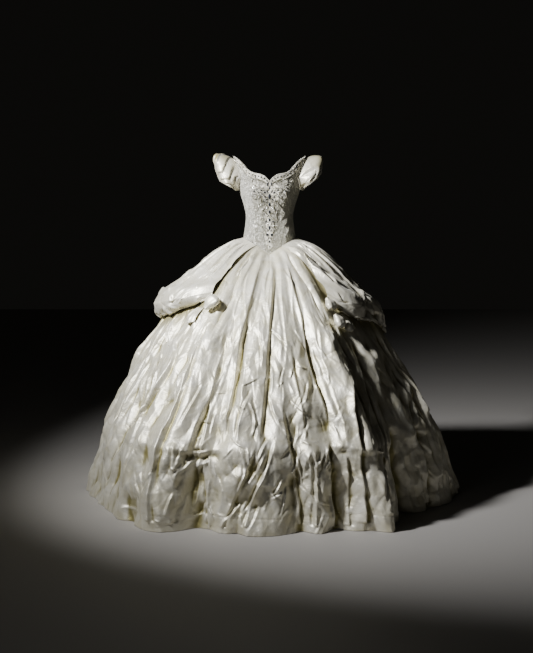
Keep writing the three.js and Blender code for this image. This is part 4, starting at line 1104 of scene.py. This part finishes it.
def bead_form():
    """A round bead of unit radius: 12 corners and 20 faces."""
    g = (1 + 5**0.5) / 2
    points = np.array([(-1, g, 0), (1, g, 0), (-1, -g, 0), (1, -g, 0), (0, -1, g), (0, 1, g), (0, -1, -g),
                       (0, 1, -g), (g, 0, -1), (g, 0, 1), (-g, 0, -1), (-g, 0, 1)]) / math.hypot(1, g)
    faces = [(0, 11, 5), (0, 5, 1), (0, 1, 7), (0, 7, 10), (0, 10, 11), (1, 5, 9), (5, 11, 4), (11, 10, 2),
             (10, 7, 6), (7, 1, 8), (3, 9, 4), (3, 4, 2), (3, 2, 6), (3, 6, 8), (3, 8, 9), (4, 9, 5),
             (2, 4, 11), (6, 2, 10), (8, 6, 7), (9, 8, 1)]
    return points, np.array(faces)


def crystal_form(is_pointed):
    """A faceted crystal of unit half width and half length, standing 1 high, with its outline on x and y."""
    turns = np.radians(np.arange(12) * 30)
    x, y = np.cos(turns), np.sin(turns)
    if is_pointed:
        x = np.sign(x) * np.abs(x) ** 1.5 * 0.96
    levels = [(0.86, 0.0), (1.0, 0.32), (0.82, 0.66), (0.46, 1.0)]
    points = [(x[i] * wide, y[i] * wide, high) for wide, high in levels for i in range(12)] + [(0, 0, 1.0)]
    faces = []
    for level in range(3):
        for i in range(12):
            a, b = level * 12 + i, level * 12 + (i + 1) % 12
            faces += [(a, b, b + 12), (a, b + 12, a + 12)]
    faces += [(36 + i, 36 + (i + 1) % 12, 48) for i in range(12)]
    return np.array(points), np.array(faces)


def strung(form, places, across, up, out, sizes):
    """The form repeated at many places. Sizes are half its width, half its length and its height."""
    points, faces = form
    sizes = np.broadcast_to(np.asarray(sizes, dtype=float), (len(places), 3))
    local = points[None] * sizes[:, None, :]
    world = (places[:, None] + local[..., :1] * across[:, None] + local[..., 1:2] * up[:, None]
             + local[..., 2:] * out[:, None])
    index = faces[None] + (np.arange(len(places)) * len(points))[:, None, None]
    return world.reshape(-1, 3), index.reshape(-1, 3)


def joined(name, parts, material, is_smooth=True):
    """One object from several lists of points and faces."""
    points, faces, count = [], [], 0
    for some_points, some_faces in parts:
        points.append(some_points)
        faces.append(some_faces + count)
        count += len(some_points)
    return mesh_object(name, np.concatenate(points), np.concatenate(faces), material, is_smooth)


def scroll_path(x, z, heading, long, start, end, spacing):
    """Places along a scroll whose turning grows from its start to its end."""
    count = int(long / spacing)
    s = np.linspace(0, 1, count)
    angle = np.radians(heading + long * (start * s + (end - start) * s**3 / 3))
    step = long / count
    return x + np.cumsum(np.sin(angle)) * step, z + np.cumsum(np.cos(angle)) * step


def both_sides(rows):
    """Rows of (x, z, ...) and the same mirrored, with those in the middle once."""
    return [(side * row[0], *row[1:]) for row in rows for side in ((1, -1) if abs(row[0]) > 0.5 else (1,))]


def crystals_on(azimuth, z, long, wide, turn, is_pointed, lift):
    """A crystal and the ring of seed beads round it."""
    place, across, up, out = on_bodice(np.array([azimuth]), np.array([z], dtype=float), lift)
    a = math.radians(turn)
    side, top = across * math.cos(a) - up * math.sin(a), across * math.sin(a) + up * math.cos(a)
    stone = strung(crystal_form(is_pointed), place, side, top, out, (wide / 2, long / 2, 0.36 * wide))
    count = max(8, int(math.pi * (wide + long) / 2 / 2.3))
    turns = np.arange(count) * 2 * np.pi / count
    x, y = np.cos(turns), np.sin(turns)
    if is_pointed:
        x = np.sign(x) * np.abs(x) ** 1.5
    ring = place + side * (x * (wide / 2 + 1.0))[:, None] + top * (y * (long / 2 + 1.2))[:, None] + out * 0.4
    rings = strung(bead_form(), ring, np.repeat(side, count, 0), np.repeat(top, count, 0),
                   np.repeat(out, count, 0), (0.85, 0.85, 0.85))
    return stone, rings


def beads_at(azimuth, z, radius):
    """A line of round beads on the bodice."""
    return strung(bead_form(), *on_bodice(azimuth, z, BEADS_LIFT), (radius, radius, radius))


def beadwork():
    """All stones, pearl beads and dark lines of bugle beads of the centre and the neckline."""
    stones, beads, cords = [], [], []
    for row in both_sides(CRYSTALS):
        x, z, long, wide, turn, is_pointed = row
        turn = turn if x >= 0 else -turn
        azimuth = float(from_middle(x, np.array(float(z))))
        stone, ring = crystals_on(azimuth, z, long, wide, turn, is_pointed, STONES_LIFT)
        stones.append(stone)
        beads.append(ring)
    for side in (1, -1):
        for x, z, heading, long, start, end in SCROLLS:
            px, pz = scroll_path(x, z, heading, long, start, end, LINE["apart"])
            cords.append(beads_at(side * from_middle(px, pz), pz, LINE["radius"]))
            px, pz = scroll_path(x, z, heading, long, start, end, PEARLS["apart"])
            along = unit(np.stack([np.gradient(px), np.gradient(pz)], axis=-1))
            px, pz = px + PEARLS["beside"] * along[:, 1], pz - PEARLS["beside"] * along[:, 0]
            beads.append(beads_at(side * from_middle(px, pz), pz, PEARLS["radius"]))
    # Two lines of beads below the neckline, with a wave of beads and a row of crystals between them
    for side in (1, -1):
        azimuth = np.arange(1.0, 112, 0.9)
        neckline = neckline_z(azimuth)
        narrows = 1 - 0.35 * smooth((azimuth - 60) / 30)
        for below in (BORDER["top"], BORDER["bottom"]):
            beads.append(beads_at(side * azimuth, neckline - below * narrows, PEARLS["radius"]))
        cords.append(beads_at(side * azimuth, neckline - BORDER["dark"] * narrows, LINE["radius"]))
        azimuth = np.arange(2.0, 108, 0.8)
        wave = BORDER["swing"] * np.sin(np.radians(azimuth * 26))
        beads.append(beads_at(side * azimuth, neckline_z(azimuth) - BORDER["middle"] + wave, 1))
        for i, a in enumerate(np.arange(6.5, 108, 6.9)):
            is_big = i % 2 == 0
            z = float(neckline_z(a)) - BORDER["middle"]
            stone, ring = crystals_on(side * a, z, 9 if is_big else 6, 6, side * 20, is_big, 1.6)
            stones.append(stone)
            beads.append(ring)
    fit(joined("crystals", stones, CRYSTAL, False), "crystal")
    fit(joined("pearl_beads", beads, PEARL), "pearl_bead")
    fit(joined("bugle_lines", cords, BUGLE), "pearl_bead")


def net_panel(name, azimuth, z, lift):
    """The beaded net under the beads: a thin sheet on the bodice."""
    place = on_bodice(azimuth, z, lift)[0]
    return fit(cloth(name + "_net", place, NET), "pearl_bead", name)


def net():
    """The net of the beaded centre, and of the border along the neckline."""
    rows = span(142, -143, 110)[:, None]
    half = read(CENTRE_BEADING, rows, 1) * (1 + 0.10 * np.sin(rows * 0.35))
    s = span(-1, 1, 30)[None, :]
    piece = net_panel("beaded_centre", from_middle(half * s, rows + 0 * s), rows + 0 * s, 1.0)
    borders = [("beaded_border_front", -30, 30, 70, "bodice_front", 0.12),
               ("beaded_border_side_left", 30, 67, 50, "bodice_side_front_left", 0.10),
               ("beaded_border_side_right", -67, -30, 50, "bodice_side_front_right", 0.10),
               ("beaded_border_strap_left", 67, 113, 60, "strap_left", 0.10),
               ("beaded_border_strap_right", -113, -67, 60, "strap_right", 0.10)]
    for name, first, last, columns, under, long in borders:
        azimuth = np.broadcast_to(span(first, last, columns)[None, :], (12, columns))
        waves = 1 + 0.06 * np.sin(np.radians(azimuth * 26))
        deep = 24 * (1 - 0.3 * smooth((np.abs(azimuth) - 60) / 30)) * waves
        if "strap" in name:
            deep = np.minimum(deep, neckline_z(azimuth) - armhole_z(np.abs(azimuth), "top") - 2)
        z = neckline_z(azimuth) - 1.5 - np.maximum(deep, 2) * span(0, 1, 12)[:, None]
        piece = net_panel(name, azimuth, z, 1.0)


# Buttons: their number, the heights of the first and last, and their radius
BUTTONS = {"count": 8, "top": 108, "bottom": -98, "radius": 5}
# A covered button's outline in parts of its radius: how far out and how high
BUTTON_OUTLINE = np.array([
    (0, 1), (0.35, 0.97), (0.62, 0.88), (0.84, 0.70), (0.96, 0.48), (1.0, 0.30), (0.97, 0.16), (0.80, 0.04),
    (0.60, 0),
])


def buttons():
    """Covered buttons down the placket, each through a loop of rolled cloth."""
    radius, high = BUTTONS["radius"] * BUTTON_OUTLINE.T[:, :, None]
    around = np.radians(np.arange(28) * 360 / 28)[None, :]
    bend = span(-0.9, 1.1, 26) * np.pi
    loops_round = []
    for i, z in enumerate(span(BUTTONS["top"], BUTTONS["bottom"], BUTTONS["count"])):
        back = float(torso_radius(np.array(180.0), np.array(z)))
        points = np.stack(np.broadcast_arrays(-radius * np.cos(around), back + 0.6 + high,
                                              z + radius * np.sin(around)), axis=-1)
        cover = cloth(f"button_{i + 1}_cover", points, COVERED, is_tube=True)
        fit(cover, "covered_button", f"button_{i + 1}")
        line = np.stack([6.4 * np.cos(bend) - 0.5, np.full(26, back + 1.2), z + 6.0 * np.sin(bend)], axis=-1)
        loops_round.append(tube(line, 0.8, 6))
    fit(joined("button_loops", loops_round, COVERED), "covered_button")


def tube(line, radius, sides):
    """A round cord along a line of points, with its ends closed."""
    along = unit(np.gradient(line, axis=0))
    aside = unit(np.cross(along, (0, 1, 0.001)))
    over = np.cross(aside, along)
    turns = np.arange(sides) * 2 * np.pi / sides
    ring = aside[:, None] * np.cos(turns)[None, :, None] + over[:, None] * np.sin(turns)[None, :, None]
    points = (line[:, None] + radius * ring).reshape(-1, 3)
    quads = grid_faces(len(line), sides, True)
    triangles = np.concatenate([quads[:, [0, 1, 2]], quads[:, [0, 2, 3]]])
    last = (len(line) - 1) * sides
    caps = [(0, k + 1, k) for k in range(1, sides - 1)]
    caps += [(last, last + k, last + k + 1) for k in range(1, sides - 1)]
    return points, np.concatenate([triangles, np.array(caps)])


def hem_stitches():
    """The stitches that hold the turned-up hem, 6 mm long and 12 mm apart."""
    count = 424
    azimuth = np.arange(count) * 360 / count + np.array([[0], [0.4]])
    z = np.full_like(azimuth, HEM_Z + HEM_TURNED_UP)
    ends = polar(azimuth, skirt_surface(azimuth, z) + 0.6, z)
    across = unit(ends[1] - ends[0])
    out = unit(np.cross(across, (0, 0, 1.0)))
    parts = [strung(bead_form(), ends.mean(axis=0), across, np.cross(out, across), out, (3, 0.7, 0.6))]
    fit(joined("hem_stitches", parts, COVERED), "satin")


def crystal_material():
    """Foiled glass crystal: a near-black painted reflection of dark surroundings, with bright glints from
    the lamp on its cut faces.
    """
    material = new_material("glass_crystal_painted_dark")
    place = add_node(material, "ShaderNodeTexCoord").outputs["Object"]
    # Painted reflection: two near-black tones stand for the dark surroundings seen in the stones
    painted_reflection_cloud = add_node(material, "ShaderNodeTexNoise", {"Scale": 1 / 0.004, "Detail": 1.0}, {"Vector": place})
    tint = add_node(material, "ShaderNodeMix", {"data_type": "RGBA", 6: linear("08090b") + [1],
                    7: linear("34373c") + [1]}, {0: painted_reflection_cloud.outputs["Fac"]})
    shader = add_node(material, "ShaderNodeBsdfPrincipled", {
        "IOR": 1.6, "Roughness": 0.05, "Coat Weight": 0.4, "Coat Roughness": 0.03,
    }, {"Base Color": tint.outputs[2]})
    return finish_material(material, shader)


def bead_material(name, light, dark, rough, metal):
    """Glass beads: a pearly or metal-lined skin, each bead a little different."""
    material = new_material(name)
    place = add_node(material, "ShaderNodeTexCoord").outputs["Object"]
    each = add_node(material, "ShaderNodeTexVoronoi", {"Scale": 1 / 0.0035}, {"Vector": place})
    tint = add_node(material, "ShaderNodeMix", {"data_type": "RGBA", 6: linear(dark) + [1],
                    7: linear(light) + [1]}, {0: each.outputs["Color"]})
    shader = add_node(material, "ShaderNodeBsdfPrincipled", {
        "IOR": 1.55, "Roughness": rough, "Metallic": metal, "Coat Weight": 0.5, "Coat Roughness": 0.08,
    }, {"Base Color": tint.outputs[2]})
    return finish_material(material, shader)


def net_material():
    """Net sewn over with seed beads 2 mm apart, in silver and olive, between the larger stones."""
    material = new_material("seed_bead_net")
    place = add_node(material, "ShaderNodeTexCoord").outputs["Object"]
    seeds = add_node(material, "ShaderNodeTexVoronoi", {"Scale": 1 / 0.0022}, {"Vector": place})
    sown = add_node(material, "ShaderNodeTexNoise", {"Scale": 1 / 0.012, "Detail": 2.0}, {"Vector": place})
    tint = add_node(material, "ShaderNodeValToRGB", links={"Fac": sown.outputs["Fac"]})
    tint.color_ramp.elements[0].position, tint.color_ramp.elements[1].position = 0.38, 0.62
    tint.color_ramp.elements[0].color = linear("77745f") + [1]
    tint.color_ramp.elements[1].color = linear("cfcbbb") + [1]
    raised = add_node(material, "ShaderNodeBump", {"Strength": 1.0, "Distance": 0.0012, "invert": True},
                      {"Height": seeds.outputs["Distance"]})
    shader = add_node(material, "ShaderNodeBsdfPrincipled", {
        "IOR": 1.5, "Roughness": 0.35, "Metallic": 0.25,
    }, {"Base Color": tint.outputs["Color"], "Normal": raised.outputs[0]})
    return finish_material(material, shader)


CRYSTAL = crystal_material()
PEARL = bead_material("pearl_seed_beads", "f2efe4", "cfcaba", 0.22, 0.2)
# The bugle beads' dark olive is partly their own dark lining and partly painted shade on the scroll lines
BUGLE = bead_material("bugle_beads_dark_lined_and_painted_shade", "6a6644", "26240f", 0.25, 0.2)
NET = net_material()
COVERED = satin_material("satin_covered_buttons", "dedacb", "d2ccb6", 0.4)

skirt_gores()
poufs()
loops()
tabs()
sleeves()
bodice()
net()
beadwork()
buttons()
hem_stitches()

# Floor, light and camera


def floor_material():
    """A pale painted floor, plain and matt."""
    material = new_material("pale_painted_floor")
    shader = add_node(material, "ShaderNodeBsdfPrincipled",
                      {"Base Color": linear("a5a29c") + [1], "Roughness": 0.7})
    return finish_material(material, shader)


FLOOR_HALF = 9000
floor = mesh_object("floor", [(x * FLOOR_HALF, y * FLOOR_HALF, HEM_Z - 1) for x, y in
                              ((-1, -1), (1, -1), (1, 1), (-1, 1))], [(0, 1, 2, 3)], floor_material())

world = bpy.data.worlds.new("studio")
bpy.context.scene.world = world
world.use_nodes = True
background = world.node_tree.nodes["Background"]
background.inputs["Color"].default_value = linear("d4d0c4") + [1]
background.inputs["Strength"].default_value = 0.008

# Soft lights: place, place it looks at, size in metres, power in watts, colour, spread in degrees
LIGHTS = {
    "key": ((-1.75, -1.42, 1.15), (0.0, -0.2, 0.05), 0.3, 44, "fbfbff", 76),
    "fill": ((-2.2, -4.4, 0.2), (0, 0, -0.3), 1.5, 7, "f6f6ff", 180),
}
for name, (place, target, size, power, colour, spread) in LIGHTS.items():
    lamp = bpy.data.lights.new(name, "AREA")
    lamp.size = size
    lamp.spread = math.radians(spread)
    lamp.energy = power
    lamp.color = linear(colour)
    light = bpy.data.objects.new(name, lamp)
    light.location = place
    aim = np.array(target) - np.array(place)
    tilt = math.acos(-aim[2] / np.linalg.norm(aim))
    light.rotation_euler = (tilt, 0, math.atan2(aim[1], aim[0]) - math.pi / 2)
    bpy.context.collection.objects.link(light)

lens = bpy.data.cameras.new("camera")
lens.sensor_fit = "HORIZONTAL"
lens.sensor_width = CAMERA["sensor"]
lens.lens = CAMERA["lens"]
camera = bpy.data.objects.new("camera", lens)
camera.location = [mm * MM for mm in CAMERA["place"]]
camera.rotation_euler = (math.radians(90 - CAMERA["pitch"]), 0, 0)
bpy.context.collection.objects.link(camera)
bpy.context.scene.camera = camera
